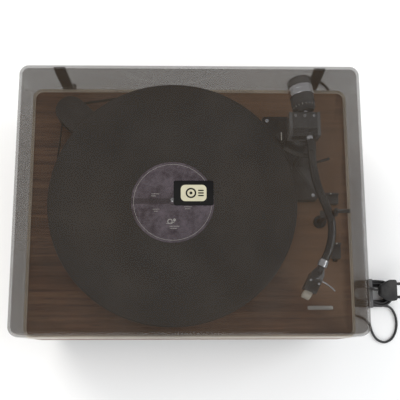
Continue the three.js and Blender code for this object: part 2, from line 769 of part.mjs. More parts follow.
const dial = [
  [WEIGHT_BORE, DIAL_START],
  [WEIGHT_RADIUS - 3, DIAL_START],
  [WEIGHT_RADIUS - 1, DIAL_START + 3],
  [WEIGHT_RADIUS - 0.5, DIAL_END],
  [WEIGHT_BORE, DIAL_END],
  [WEIGHT_BORE, DIAL_START],
];
const counterweight = [
  [WEIGHT_BORE, WEIGHT_START],
  [WEIGHT_RADIUS, WEIGHT_START],
  [WEIGHT_RADIUS, WEIGHT_END - 1.5],
  [WEIGHT_RADIUS - 1.5, WEIGHT_END],
  [WEIGHT_BORE, WEIGHT_END],
  [WEIGHT_BORE, WEIGHT_START],
];
const weightShaft = [
  [0, 5],
  [WEIGHT_SHAFT, 5],
  [WEIGHT_SHAFT, WEIGHT_END - 3],
  [0, WEIGHT_END - 3],
];

piece("arm_tube", swept(TUBE_PATH, ARM_TUBE_RADIUS, 30), blackPlastic(), arm);
piece("weight_shaft", alongArm(weightShaft, 24), chrome(), arm);
piece("force_dial", alongArm(dial), blackPlastic(), arm);
piece(
  "counterweight_band",
  alongArm(washer(WEIGHT_BORE, WEIGHT_RADIUS, BAND_START, BAND_LENGTH)),
  chrome(),
  arm,
);
piece("counterweight", alongArm(counterweight), blackPlastic(), arm);

// ---- Headshell: a group whose -Y is the way that the shell points ----
const shell = new THREE.Group();
shell.position.set(...TUBE_END);
shell.rotation.z = SHELL_HEADING;
arm.add(shell);

const COLLAR_LENGTH = 9;
const COLLAR_RADIUS = 6;
const SHELL_START = COLLAR_LENGTH + 2 * FIT;
const SHELL_LENGTH = 31;
const SHELL_THICKNESS = 3;
const CARTRIDGE_WIDTH = 15;
const CARTRIDGE_LENGTH = 20;
const CARTRIDGE_Y = -SHELL_START - SHELL_LENGTH + 2;

const collar = washer(CARTRIDGE_WIDTH / 2 - 4.4, COLLAR_RADIUS, FIT, COLLAR_LENGTH);
const alongShell = (profile, sides = 24) => turned(profile, sides).rotateX(Math.PI / 2);

function makeHeadshell() {
  const y = -SHELL_START;
  const neck = 4;
  const half = SHELL_WIDTH / 2;
  const outline = [
    [-neck, y],
    [-half, y - 8],
    [-half, y - SHELL_LENGTH],
    [half, y - SHELL_LENGTH],
    [half, y - 8],
    [neck, y],
  ].map(([px, py]) => new THREE.Vector2(px, py));
  const plate = slab(outline, -1, SHELL_THICKNESS);
  const plug = barAlongY(2.8, COLLAR_LENGTH + 6, 0, y + COLLAR_LENGTH / 2 - 3, 0, 20);
  const screw = (side) => bar(1.4, 3, side * 5, y - SHELL_LENGTH + 12, 1.5, 16);
  return join(plate, plug, screw(-1), screw(1));
}

// A thin rod that leaves the shell's right side and rises for the finger.
function makeFingerLift() {
  const y = -SHELL_START - 14;
  const edge = SHELL_WIDTH / 2 + FIT + 0.2;
  return swept(
    [
      [edge, y, 0.5],
      [edge + 5, y - 0.5, 0.7],
      [edge + 11, y - 2, 2],
      [edge + 17, y - 4.5, 4],
    ],
    0.9,
    8,
    8,
  );
}

const STYLUS_TIP = RECORD_TOP + STYLUS_CLEARANCE - PIVOT_Z;
const CARTRIDGE_TOP = -1 - SEAT;
const CARTRIDGE_BASE = STYLUS_TIP + 5;
function makeCartridge() {
  const height = CARTRIDGE_TOP - CARTRIDGE_BASE;
  const y = CARTRIDGE_Y + CARTRIDGE_LENGTH / 2;
  const body = block(CARTRIDGE_WIDTH, CARTRIDGE_LENGTH, height, 0, y, CARTRIDGE_BASE);
  const pins = [-4.5, -1.5, 1.5, 4.5].map((x) =>
    barAlongY(0.6, 5, x, CARTRIDGE_Y + CARTRIDGE_LENGTH + 2, CARTRIDGE_BASE + height / 2, 8),
  );
  return join(body, ...pins);
}

// The stylus holder plugs onto the front of the cartridge; its underside slopes down to the tip.
function makeStylus() {
  const length = 9;
  const profile = [
    [0, CARTRIDGE_TOP - 3],
    [-length * 0.6, CARTRIDGE_TOP - 4],
    [-length, CARTRIDGE_TOP - 8],
    [-length, CARTRIDGE_BASE + 1],
    [-length * 0.6, STYLUS_TIP + 1.2],
    [-length * 0.5, STYLUS_TIP],
    [-length * 0.4, STYLUS_TIP + 1.2],
    [0, CARTRIDGE_BASE],
  ];
  return sideSlab(profile, 9).translate(0, CARTRIDGE_Y - FIT, 0);
}

piece("headshell_collar", alongShell(collar), chrome(), shell);
piece("headshell", makeHeadshell(), blackPlastic(), shell);
piece("finger_lift", makeFingerLift(), chrome(), shell);
piece("cartridge", makeCartridge(), blackPlastic(), shell);
piece("stylus", makeStylus(), creamPlastic(), shell);

// ---- Anti-skating knob, cue lever and the bar that it raises ----
function makeAntiskateKnob() {
  const z = BASE_TOP + SEAT;
  const dish = turned(
    [
      [0, z],
      [7.5, z],
      [7.5, z + 3],
      [6, z + 4],
      [6, z + 9],
      [5.2, z + 10],
      [0, z + 10],
    ],
    32,
  );
  return join(dish, block(1.6, 10, 1.4, 0, 0, z + 9.6)).translate([ANTISKATE_X, ANTISKATE_Y, 0]);
}

function makeCueLever() {
  const hub = barAlongY(3.4, CUE_HUB_LENGTH, CUE_X, CUE_Y, CUE_Z, 24);
  const bore = barAlongY(CUE_AXLE + RUNNING, CUE_HUB_LENGTH + 2, CUE_X, CUE_Y, CUE_Z, 16);
  const handle = swept(
    [
      [CUE_X + 1.9, CUE_Y, CUE_Z],
      [CUE_X + 7, CUE_Y + 0.6, CUE_Z + 0.6],
      [CUE_X + 14, CUE_Y + 2.4, CUE_Z + 1.4],
      [CUE_X + 21, CUE_Y + 4.4, CUE_Z + 1.6],
    ],
    1.6,
    8,
    8,
  );
  return cut(join(hub, handle), bore);
}

const LIFT_TOP = PIVOT_Z - ARM_TUBE_RADIUS - 0.6;
const LIFT_THICKNESS = 2.6;
const LIFT_WIDTH = 4.5;
function makeLift() {
  const from = THREE.MathUtils.degToRad(-78);
  const to = THREE.MathUtils.degToRad(-131);
  const inner = arcPoints(PIVOT_X, PIVOT_Y, LIFT_RADIUS - LIFT_WIDTH / 2, from, to, 14);
  const outer = arcPoints(PIVOT_X, PIVOT_Y, LIFT_RADIUS + LIFT_WIDTH / 2, to, from, 14);
  const rail = slab([...inner, ...outer], LIFT_TOP - LIFT_THICKNESS, LIFT_THICKNESS);
  return join(rail, bar(LIFT_STEM, LIFT_TOP - TOP - 2, LIFT_X, LIFT_Y, TOP + 1.5, 24));
}

piece("antiskate_knob", makeAntiskateKnob(), blackPlastic());
piece("cue_lever", makeCueLever(), blackPlastic());
piece("lift_platform", makeLift(), rubber());

// ---- Arm rest and its clip, under the widest point of the tube's S ----
const tubeCurve = new THREE.CatmullRomCurve3(TUBE_PATH.map((p) => new THREE.Vector3(...p)));
const REST_ALONG = 0.63; // of the tube's length
const rest = tubeCurve
  .getPointAt(REST_ALONG)
  .applyAxisAngle(new THREE.Vector3(0, 0, 1), THREE.MathUtils.degToRad(ARM_TURN))
  .add(new THREE.Vector3(PIVOT_X, PIVOT_Y, 0));
const REST_DEPTH = 8;
const EAR_NEAR = ARM_TUBE_RADIUS + 1.6; // of the ear's inner face from the tube's middle
const EAR_WIDTH = 3;
const SADDLE_LEFT = 8; // of the tube's middle
const CLIP_AXIS_X = EAR_NEAR + EAR_WIDTH / 2;
const CLIP_BASE = PIVOT_Z + ARM_TUBE_RADIUS + 1;
const CLIP_WIDTH = 4.5;
const CLIP_THICKNESS = 1.6;
const CLIP_PIN = 0.9;
const CLIP_REACH = CLIP_AXIS_X + ARM_TUBE_RADIUS + 2;

function makeArmRest() {
  const cradleTop = PIVOT_Z - ARM_TUBE_RADIUS - 0.4;
  const foot = bar(8, 3, 0, 0, TOP + SEAT, 28);
  const post = bar(3.8, cradleTop - TOP - 4, 0, 0, TOP + 2, 20);
  const saddleWidth = EAR_NEAR + EAR_WIDTH + SADDLE_LEFT;
  const saddleX = saddleWidth / 2 - SADDLE_LEFT;
  const saddle = block(saddleWidth, REST_DEPTH, 5, saddleX, 0, cradleTop - 5);
  const earHeight = CLIP_BASE - FIT - cradleTop + 2;
  const ear = block(EAR_WIDTH, REST_DEPTH, earHeight, CLIP_AXIS_X, 0, cradleTop - 2);
  const pin = bar(CLIP_PIN, CLIP_THICKNESS + 2, CLIP_AXIS_X, 0, CLIP_BASE - 1, 16);
  return join(foot, post, saddle, ear, pin).translate([rest.x, rest.y, 0]);
}

// Open, the clip points away from the tube; closed, it has swivelled half a turn over it.
function makeClip() {
  const eye = bar(CLIP_WIDTH / 2, CLIP_THICKNESS, CLIP_AXIS_X, 0, CLIP_BASE, 24);
  const bore = bar(CLIP_PIN + RUNNING, CLIP_THICKNESS + 2, CLIP_AXIS_X, 0, CLIP_BASE - 1, 20);
  const strapX = CLIP_AXIS_X + CLIP_REACH / 2;
  const strap = block(CLIP_REACH, CLIP_WIDTH, CLIP_THICKNESS, strapX, 0, CLIP_BASE);
  const tab = block(1.5, CLIP_WIDTH, 3.5, CLIP_AXIS_X + CLIP_REACH, 0, CLIP_BASE);
  return cut(join(eye, strap, tab), bore).translate([rest.x, rest.y, 0]);
}

piece("arm_rest", makeArmRest(), blackPlastic());
piece("arm_clip", makeClip(), blackPlastic());

// ---- Speed selector and start lever, each a cap on a stem through a slot in the plinth ----
function makeSlider(x, y, width, depth, height, travel) {
  const under = TOP - TOP_BOARD - FIT;
  const cap = block(width, depth, height, x, y, TOP + FIT);
  const grip = block(width, 2.5, height + 3, x, y + depth / 2 - 1.25, TOP + FIT);
  const stem = block(STEM_WIDTH, STEM_DEPTH, TOP_BOARD + 3, x, y, under - 1);
  const keeper = block(STEM_WIDTH + 5, STEM_DEPTH + travel * 0.6, 2, x, y, under - 2);
  return join(cap, grip, stem, keeper);
}
piece("speed_selector", makeSlider(KNOB_X, SPEED_Y, 20, 13, 8, SPEED_TRAVEL), blackPlastic());
piece("start_lever", makeSlider(START_X, START_Y, 11, 19, 8, START_TRAVEL), blackPlastic());

// ---- Badges: a plain plate on the plinth and a plain square on the cover ----
const COVER_TOP = COVER_BASE + COVER_HEIGHT;
const DECK_BADGE = [158.5, -122];
const COVER_BADGE = [4, 2];
piece(
  "deck_badge",
  slab(roundedOutline(31, 5, 1.5, 3), TOP + SEAT, 0.7).translate(...DECK_BADGE, 0),
  chrome(),
);
piece(
  "cover_badge",
  slab(roundedOutline(45, 29, 2.5, 3), COVER_TOP + 0.05, 0.3).translate(...COVER_BADGE, 0),
  blackPlastic(),
);

// ---- Dust cover: a five-sided box with a rounded upper edge ----
function coverShell(width, depth, corner, edge, low, high) {
  const rings = [{ outline: roundedOutline(width, depth, corner), z: low }];
  const steps = 5;
  for (let i = 0; i <= steps; i++) {
    const a = (i * Math.PI) / 2 / steps;
    const inset = edge * (1 - Math.cos(a));
    const radius = Math.max(corner - inset, 1);
    const outline = roundedOutline(width - 2 * inset, depth - 2 * inset, radius);
    rings.push({ outline, z: high - edge + edge * Math.sin(a) });
  }
  return stacked(rings);
}
function makeCover() {
  const outside = coverShell(
    PLINTH_WIDTH,
    PLINTH_DEPTH,
    PLINTH_CORNER,
    COVER_EDGE,
    COVER_BASE,
    COVER_TOP,
  );
  const inside = coverShell(
    PLINTH_WIDTH - 2 * COVER_WALL,
    PLINTH_DEPTH - 2 * COVER_WALL,
    PLINTH_CORNER - COVER_WALL,
    COVER_EDGE - COVER_WALL,
    COVER_BASE - 1,
    COVER_TOP - COVER_WALL,
  );
  return cut(outside, inside);
}
piece("dust_cover", makeCover(), smoked());

// ---- Hinges behind the plinth: a forked base with its pin, and the bar on the cover's back ----
const AXIS_Y = BACK + HINGE_OUT;
const AXIS_Z = TOP - HINGE_DROP;
const EAR = 3.3;

function makeHingeBase(x) {
  const width = EYE_WIDTH + 2 * (FIT + EAR);
  const plateTop = AXIS_Z - HINGE_EYE - 1;
  const plate = block(width, 3, 20, x, BACK + FIT + 1.5, plateTop - 20);
  const ear = (side) => {
    const outline = [
      new THREE.Vector2(BACK + FIT, plateTop - 8),
      new THREE.Vector2(AXIS_Y, AXIS_Z - HINGE_EYE),
      ...arcPoints(AXIS_Y, AXIS_Z, HINGE_EYE, -Math.PI / 3, Math.PI * 0.6, 10),
      new THREE.Vector2(BACK + FIT, AXIS_Z + 1),
    ];
    const middle = x + side * (EYE_WIDTH / 2 + FIT + EAR / 2);
    return sideSlab(
      outline.map((p) => [p.x, p.y]),
      EAR,
    ).translate(middle, 0, 0);
  };
  const pin = barAlongX(HINGE_PIN, EYE_WIDTH + 2 * FIT + EAR, x, AXIS_Y, AXIS_Z, 24);
  return join(plate, ear(-1), ear(1), pin);
}

function makeHingeArm(x) {
  const near = BACK + FIT;
  const far = near + HINGE_BAR_THICKNESS;
  const shoulder = AXIS_Z + HINGE_EYE + 1.5;
  const eye = barAlongX(HINGE_EYE, EYE_WIDTH, x, AXIS_Y, AXIS_Z, 32);
  const neck = sideSlab(
    [
      [near, AXIS_Z],
      [AXIS_Y + HINGE_EYE * 0.7, AXIS_Z],
      [AXIS_Y + HINGE_EYE * 0.7, AXIS_Z + HINGE_EYE * 0.7],
      [far, shoulder + 6],
      [near, shoulder + 6],
    ],
    EYE_WIDTH,
  ).translate(x, 0, 0);
  const height = TOP + HINGE_BAR_TOP - shoulder;
  const middle = (near + far) / 2;
  const strip = block(HINGE_BAR_WIDTH, HINGE_BAR_THICKNESS, height, x, middle, shoulder);
  const bore = barAlongX(HINGE_PIN + RUNNING, EYE_WIDTH + 2, x, AXIS_Y, AXIS_Z, 24);
  return cut(join(eye, neck, strip), bore);
}
for (const [name, side] of [
  ["left", -1],
  ["right", 1],
]) {
  piece(`hinge_base_${name}`, makeHingeBase(side * HINGE_SPREAD), blackPlastic());
  piece(`hinge_arm_${name}`, makeHingeArm(side * HINGE_SPREAD), blackPlastic());
}

// ---- Mains lead: out of the gland, round the corner, forward, a loose loop, then the hank ----
const FLOOR = CORD_RADIUS + 0.1;
const HANK_X = 245;
const HANK_Y = -96;
const HANK_STRAIGHT = 28;
const HANK_END = 18.3;
const HANK_BASE = 1.3;
const HANK_HEIGHT = 9.9;
const TIE_WIDTH = 5;
const TIE_THICKNESS = 0.9;
const PLUG_X = 254;
const PLUG_Y = -93;
const PLUG_Z = 18.2;
const PLUG_LENGTH = 23;
const PLUG_HEIGHT = 13;
const PIN_SPACING = 18;
const PIN_RADIUS = 2;
const PIN_LENGTH = 19;

const LEAD_PATH = [
  [150, 177.5, 28.2],
  [150, 184, 28],
  [150.6, 191, 26],
  [152.6, 198, 20.5],
  [156, 205, 13],
  [161, 211.5, 6],
  [168, 216.5, 2.4],
  [177, 218.6, FLOOR],
  [187, 216.5, FLOOR],
  [196, 210, FLOOR],
  [202.5, 200, FLOOR],
  [205.6, 188, FLOOR],
  [206.3, 170, FLOOR],
  [206.5, 120, FLOOR],
  [206.5, 60, FLOOR],
  [206.5, 0, FLOOR],
  [206.5, -60, FLOOR],
  [206.5, -92, FLOOR],
  [208.5, -106, FLOOR],
  [215, -118, FLOOR],
  [226, -125.5, FLOOR],
  [237, -130, FLOOR],
  [244.5, -138, FLOOR],
  [247.5, -148.5, FLOOR],
  [253.5, -158, FLOOR],
  [264, -162, FLOOR],
  [274, -157, FLOOR],
  [280, -146, FLOOR],
  [281.5, -133, FLOOR + 0.1],
  [278.5, -121.5, FLOOR + 0.5],
  [271, -113.3, FLOOR + 1.2],
];
const TAIL_PATH = [
  [234.5, -86.4, 13.8],
  [241, -88.2, 15.6],
  [247.5, -91.6, 17.5],
  [253.6, -93, PLUG_Z],
];

const hankOutline = (radius) => [
  ...arcPoints(HANK_X + HANK_STRAIGHT / 2, HANK_Y, radius, -Math.PI / 2, Math.PI / 2, 12),
  ...arcPoints(HANK_X - HANK_STRAIGHT / 2, HANK_Y, radius, Math.PI / 2, Math.PI * 1.5, 12),
];

function makeTie() {
  // A flat band round the hank; gap is its face's distance from the hank.
  const loop = (width, gap) => {
    const height = HANK_HEIGHT + 2 * gap;
    return block(width, 2 * (HANK_END + gap), height, HANK_X, HANK_Y, HANK_BASE - gap);
  };
  return cut(loop(TIE_WIDTH, FIT + TIE_THICKNESS), loop(TIE_WIDTH + 2, FIT));
}

function makePlug() {
  const back = 6;
  const front = PIN_SPACING / 2 + 5;
  const outline = [
    [PLUG_X, PLUG_Y - back],
    [PLUG_X + PLUG_LENGTH * 0.55, PLUG_Y - front],
    [PLUG_X + PLUG_LENGTH, PLUG_Y - front],
    [PLUG_X + PLUG_LENGTH, PLUG_Y + front],
    [PLUG_X + PLUG_LENGTH * 0.55, PLUG_Y + front],
    [PLUG_X, PLUG_Y + back],
  ].map(([x, y]) => new THREE.Vector2(x, y));
  return slab(outline, PLUG_Z - PLUG_HEIGHT / 2, PLUG_HEIGHT);
}
const makePin = (side) =>
  barAlongX(
    PIN_RADIUS,
    PIN_LENGTH,
    PLUG_X + PLUG_LENGTH + FIT + PIN_LENGTH / 2,
    PLUG_Y + (side * PIN_SPACING) / 2,
    PLUG_Z,
    16,
  );

piece("mains_cord", swept(LEAD_PATH, CORD_RADIUS, 76, 8), rubber());
piece("cord_hank", slab(hankOutline(HANK_END), HANK_BASE, HANK_HEIGHT), rubber());
piece("cord_tie", makeTie(), blackPlastic());
piece("cord_tail", swept(TAIL_PATH, CORD_RADIUS, 6, 8), rubber());
piece("plug_body", makePlug(), rubber());
piece("plug_pin_front", makePin(-1), chrome());
piece("plug_pin_rear", makePin(1), chrome());

export default player;
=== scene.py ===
# %% [markdown]
# # A record player, step by step
# The player has a walnut plinth, a record on its platter, an S-shaped tone arm and a smoked cover
# on two rear hinges. A frame already holds every piece at its real place and size, in metres,
# with +Z up and the front at -Y. This notebook dresses that frame: finer meshes where a plain
# solid is too coarse, and a procedural material for every surface.

# %% The frame
import json
import math

import bmesh
import bpy
from mathutils import Matrix, Vector


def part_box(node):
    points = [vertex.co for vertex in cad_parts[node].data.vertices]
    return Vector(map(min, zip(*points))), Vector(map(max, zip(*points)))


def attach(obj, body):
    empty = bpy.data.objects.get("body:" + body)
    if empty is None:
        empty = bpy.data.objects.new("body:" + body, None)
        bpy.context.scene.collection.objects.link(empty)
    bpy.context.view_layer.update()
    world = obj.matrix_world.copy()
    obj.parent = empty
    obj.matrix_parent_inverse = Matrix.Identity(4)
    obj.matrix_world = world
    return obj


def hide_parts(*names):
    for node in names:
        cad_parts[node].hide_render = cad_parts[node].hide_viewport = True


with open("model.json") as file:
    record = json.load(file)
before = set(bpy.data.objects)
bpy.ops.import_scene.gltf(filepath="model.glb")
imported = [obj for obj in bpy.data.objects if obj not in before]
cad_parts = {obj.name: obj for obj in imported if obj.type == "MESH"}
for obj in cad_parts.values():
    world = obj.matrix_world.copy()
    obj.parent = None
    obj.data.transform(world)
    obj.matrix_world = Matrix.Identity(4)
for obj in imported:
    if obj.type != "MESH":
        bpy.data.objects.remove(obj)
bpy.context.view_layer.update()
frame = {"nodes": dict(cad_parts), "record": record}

MM = 0.001
NODES = frame["nodes"]
BODIES = frame["record"]["behaviour"]["bodies"]
BODY_OF = {node: body for body, nodes in BODIES.items() for node in nodes}

# %% [markdown]
# Later steps measure from a few levels and centres. Reading them off the frame means that a
# finer mesh lands exactly where the plain solid was.


# %% Centres and levels
def low(node):
    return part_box(node)[0]


def high(node):
    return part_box(node)[1]


def middle(node):
    a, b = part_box(node)
    return (a + b) / 2


def levels(node):
    """A node's lowest and highest level, in millimetres."""
    return low(node).z / MM, high(node).z / MM


def in_scene(name, data):
    """A new object in the scene that shows the data."""
    made = bpy.data.objects.new(name, data)
    bpy.context.scene.collection.objects.link(made)
    return made


plinth_low, plinth_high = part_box("wood_plinth")
TOP = plinth_high.z
MIDDLE_Y = middle("wood_plinth").y
HALF_WIDTH = (plinth_high.x - plinth_low.x) / 2
HALF_DEPTH = (plinth_high.y - plinth_low.y) / 2
SPINDLE = middle("spindle")
PIVOT = Vector((0.139, 0.0905, 0.1252))
print("plinth top", round(TOP, 4), "spindle", [round(v, 4) for v in SPINDLE])

# %% [markdown]
# ## Camera and stage
# The player is seen almost from straight above, a little from the front, so a long view over it
# with a slight tilt is enough. The vertical shift keeps the upright edges from leaning too much.

# %% Camera
camera_data = bpy.data.cameras.new("camera")
camera_data.lens = 47.7
camera_data.sensor_width = 36
camera_data.shift_y = 0.2
camera = in_scene("camera", camera_data)
camera.location = (0.00137, -0.18651, 0.72289)
camera.rotation_euler = [math.radians(a) for a in (8.193, -0.91, -0.199)]
bpy.context.scene.camera = camera
print("camera at", [round(v, 3) for v in camera.location])

# %% [markdown]
# The stage is a pale floor in an even white surround. A clear cover over a dark record shows
# every lamp as a reflection, so the lamps are large and soft, and stand to the sides and behind.


# %% Floor, surround and lamps
def set_inputs(node, **values):
    """Fixed values for a node's inputs, with _ for each space in a name."""
    for name, value in values.items():
        node.inputs[name.replace("_", " ")].default_value = value


def new_material(name, **values):
    """A new material, its node tree and its one shader, set to the values."""
    made = bpy.data.materials.new(name)
    made.use_nodes = True
    shader = made.node_tree.nodes["Principled BSDF"]
    set_inputs(shader, **values)
    return made, made.node_tree, shader


pale_floor = new_material("pale_floor", Base_Color=(0.92, 0.92, 0.91, 1), Roughness=0.9)[0]
floor_mesh = bpy.data.meshes.new("floor")
floor_mesh.from_pydata([(-4, -4, 0), (4, -4, 0), (4, 4, 0), (-4, 4, 0)], [], [(0, 1, 2, 3)])
floor_mesh.materials.append(pale_floor)
floor = in_scene("floor", floor_mesh)

world = bpy.data.worlds.new("surround")
world.use_nodes = True
set_inputs(world.node_tree.nodes["Background"], Color=(0.97, 0.98, 1, 1), Strength=0.75)
bpy.context.scene.world = world
bpy.context.scene.view_settings.view_transform = "Standard"


def lamp(name, place, aim, size, power, color=(1, 1, 1)):
    data = bpy.data.lights.new(name, "AREA")
    data.shape = "RECTANGLE"
    data.size, data.size_y = size
    data.energy = power
    data.color = color
    made = in_scene(name, data)
    made.location = place
    made.rotation_euler = (Vector(aim) - Vector(place)).to_track_quat("-Z", "Y").to_euler()
    return made


rear_left = lamp("lamp_rear_left", (-1.25, 1.75, 1.3), (0, 0, 0.1), (1.7, 1.3), 36, (1, 0.97, 0.92))
lamp("lamp_right", (1.6, 0.1, 1.2), (0, 0, 0.1), (0.9, 1.2), 14, (0.94, 0.97, 1))
lamp("lamp_front", (-0.3, -1.7, 1.0), (0, 0, 0.1), (1.6, 0.8), 12)
rear_left.visible_glossy = False  # its mirror image would whiten the cover
print("stage made")

# %% [markdown]
# ## Helpers for meshes
# Most pieces are turned, swept along a line, or cut from a slab, as on the real player. A few
# helpers make those meshes straight in place, so that every finished object sits at the origin.
# Coordinates below are millimetres from the middle of the plinth, which is how such a player is
# drawn; `at` turns them into the frame's metres.


# %% Points, paths and finished pieces
def at(x, y, z):
    return Vector((x * MM, y * MM + MIDDLE_Y, z * MM))


def placed(name, mesh, node, slot, *materials, sharp=35):
    """A finished mesh as a piece: shaded, painted, riding on its body in place of its node."""
    while mesh.materials:
        mesh.materials.pop()  # clear() would also forget which face has which
    for made in materials:
        mesh.materials.append(made)
    mesh.shade_smooth()
    mesh.set_sharp_from_angle(angle=math.radians(sharp))
    obj = in_scene(name, mesh)
    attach(obj, BODY_OF[node])
    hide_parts(node)
    return obj


def mesh_of(name, points, faces):
    """A mesh whose faces all point outwards."""
    mesh = bpy.data.meshes.new(name)
    mesh.from_pydata([tuple(p) for p in points], [], faces)
    bm = bmesh.new()
    bm.from_mesh(mesh)
    bmesh.ops.remove_doubles(bm, verts=bm.verts, dist=1e-6)
    bmesh.ops.recalc_face_normals(bm, faces=bm.faces)
    bm.to_mesh(mesh)
    bm.free()
    return mesh


def joined(name, *meshes):
    """Several closed meshes as one, each kept apart in it."""
    bm = bmesh.new()
    for mesh in meshes:
        bm.from_mesh(mesh)
    made = bpy.data.meshes.new(name)
    bm.to_mesh(made)
    bm.free()
    return made


def smooth_path(points, per_span=8):
    """A curve through the points that never swings wide of them (centripetal Catmull-Rom)."""
    p = [Vector(q) for q in points]
    p = [2 * p[0] - p[1], *p, 2 * p[-1] - p[-2]]
    found = []
    for a, b, c, d in zip(p, p[1:], p[2:], p[3:]):
        t1 = (b - a).length ** 0.5
        t2 = t1 + (c - b).length ** 0.5
        t3 = t2 + (d - c).length ** 0.5
        for i in range(per_span):
            t = t1 + (t2 - t1) * i / per_span
            ab = a.lerp(b, t / t1)
            bc = b.lerp(c, (t - t1) / (t2 - t1))
            cd = c.lerp(d, (t - t2) / (t3 - t2))
            first = ab.lerp(bc, t / t2)
            second = bc.lerp(cd, (t - t1) / (t3 - t1))
            found.append(first.lerp(second, (t - t1) / (t2 - t1)))
    return [*found, p[-2]]


def length_of(line):
    return sum((b - a).length for a, b in zip(line, line[1:]))


print("a path through three points has", len(smooth_path([(0, 0, 0), (1, 0, 0), (1, 1, 0)])))

# %% [markdown]
# ## The mains lead
# A flexible lead with a two-pin plug leaves a rubber sleeve at the back, drops to the table,
# comes forward along the plinth's right side, makes one loose loop and ends in a tied hank with
# the plug on it. A curve with a round bevel is the plainest way to keep its thickness constant
# along the whole route, so the route is the only thing to draw.

# %% The route out of the sleeve and round to the hank
LEAD_RADIUS = 1.6
FLOOR = LEAD_RADIUS + 0.1
lead_route = [
    (150, 177.5, 28.2), (150, 184, 28), (150.6, 191, 26), (152.6, 198, 20.5),
    (156, 205, 13), (161, 211.5, 6), (168, 216.5, 2.4), (177, 218.6, FLOOR),
    (187, 216.5, FLOOR), (196, 210, FLOOR), (202.5, 200, FLOOR), (205.6, 188, FLOOR),
    (206.3, 170, FLOOR), (206.5, 120, FLOOR), (206.5, 60, FLOOR), (206.5, 0, FLOOR),
    (206.5, -60, FLOOR), (206.5, -92, FLOOR), (208.5, -106, FLOOR), (215, -118, FLOOR),
    (226, -125.5, FLOOR), (237, -130, FLOOR), (244.5, -138, FLOOR),
    (247.5, -148.5, FLOOR), (253.5, -158, FLOOR), (264, -162, FLOOR),
    (274, -157, FLOOR), (280, -146, FLOOR), (281.5, -133, FLOOR + 0.1),
    (278.5, -121.5, FLOOR + 0.5), (271, -113.3, FLOOR + 1.2),
]  # fmt: skip
tail_route = [
    (234.5, -86.4, 13.8), (241, -88.2, 15.6), (247.5, -91.6, 17.5), (253.6, -93, 18.2),
]  # fmt: skip

# %% [markdown]
# The hank is wound clockwise in three layers. Each lap is two straight runs and two half turns;
# on its first straight run it steps to the next radius, then up to the next layer, so the laps
# lie beside and on each other without touching.

# %% The hank's laps
HANK_X, HANK_Y, HANK_HALF = 245, -96, 14
OUTER, SECOND, INNER = 16.6, 13.3, 10
LAYERS = (2.9, 6.2, 9.5)
laps = [
    *[(r, LAYERS[0]) for r in (OUTER, SECOND, INNER)],
    *[(r, LAYERS[1]) for r in (INNER, SECOND, OUTER)],
    *[(r, LAYERS[2]) for r in (OUTER, SECOND)],
]


def half_turn(side, radius, low_z, high_z, steps=8):
    """Points round one end of the hank, at x = side times half its straight, clockwise."""
    start = -math.pi / 2 if side < 0 else math.pi / 2
    for i in range(steps + 1):
        a = start - math.pi * i / steps
        x = HANK_X + side * HANK_HALF + radius * math.cos(a)
        yield x, HANK_Y + radius * math.sin(a), low_z + (high_z - low_z) * i / steps


wound = []
for i, (radius, z) in enumerate(laps):
    if i:
        wound.append((HANK_X, HANK_Y - radius, laps[i - 1][1]))
    wound.extend(half_turn(-1, radius, z, z))
    wound.extend(half_turn(1, radius, z, z))
wound.append((HANK_X, HANK_Y - INNER, LAYERS[2]))
wound.extend(list(half_turn(-1, INNER, LAYERS[2], 13.3))[:-1])

# %% The lead as one curve
lead_points = smooth_path([at(*p) for p in [*lead_route, *wound, *tail_route]], 4)
lead_curve = bpy.data.curves.new("mains_lead", "CURVE")
lead_curve.dimensions = "3D"
lead_curve.bevel_depth = 1.0
lead_curve.bevel_resolution = 3
lead_curve.use_fill_caps = True
spline = lead_curve.splines.new("POLY")
spline.points.add(len(lead_points) - 1)
for point, place in zip(spline.points, lead_points):
    point.co = (*place, 1)
    point.radius = LEAD_RADIUS * MM
mains_lead = in_scene("mains_lead", lead_curve)
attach(mains_lead, "root")
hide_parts("mains_cord", "cord_hank", "cord_tail")
print("lead of", len(lead_points), "points,", round(length_of(lead_points), 3), "m long")

# %% [markdown]
# ## Helpers for materials
# Every finish starts as one Principled shader. What changes over a surface comes from a few
# shared node groups: a fine texture for moulded plastic, dust that settles on what faces up,
# pale wear along raised edges, and rings about an axis for everything that is turned or pressed.


# %% Nodes and node groups
def put(tree, kind, *inputs, **settings):
    """A node with its settings, then its inputs: each a value or another node's output."""
    node = tree.nodes.new(kind)
    for name, value in settings.items():
        setattr(node, name, value)
    for socket, value in inputs:
        if isinstance(value, bpy.types.NodeSocket):
            tree.links.new(value, node.inputs[socket])
        else:
            node.inputs[socket].default_value = value
    return node


def calc(tree, operation, a, b=0.0, c=0.0):
    return put(tree, "ShaderNodeMath", (0, a), (1, b), (2, c), operation=operation).outputs[0]


def mixed(tree, factor, a, b):
    return put(tree, "ShaderNodeMix", ("Factor", factor), (6, a), (7, b), data_type="RGBA").outputs[2]


def between(tree, value, low_end, high_end, to_low=0.0, to_high=1.0):
    """The value's range stretched to another one."""
    ends = {"From Min": low_end, "From Max": high_end, "To Min": to_low, "To Max": to_high}
    return put(tree, "ShaderNodeMapRange", ("Value", value), *ends.items()).outputs["Result"]


def noise(tree, place, scale, detail=3.0, roughness=0.55):
    sizes = {"Vector": place, "Scale": scale, "Detail": detail, "Roughness": roughness}
    return put(tree, "ShaderNodeTexNoise", *sizes.items()).outputs["Fac"]


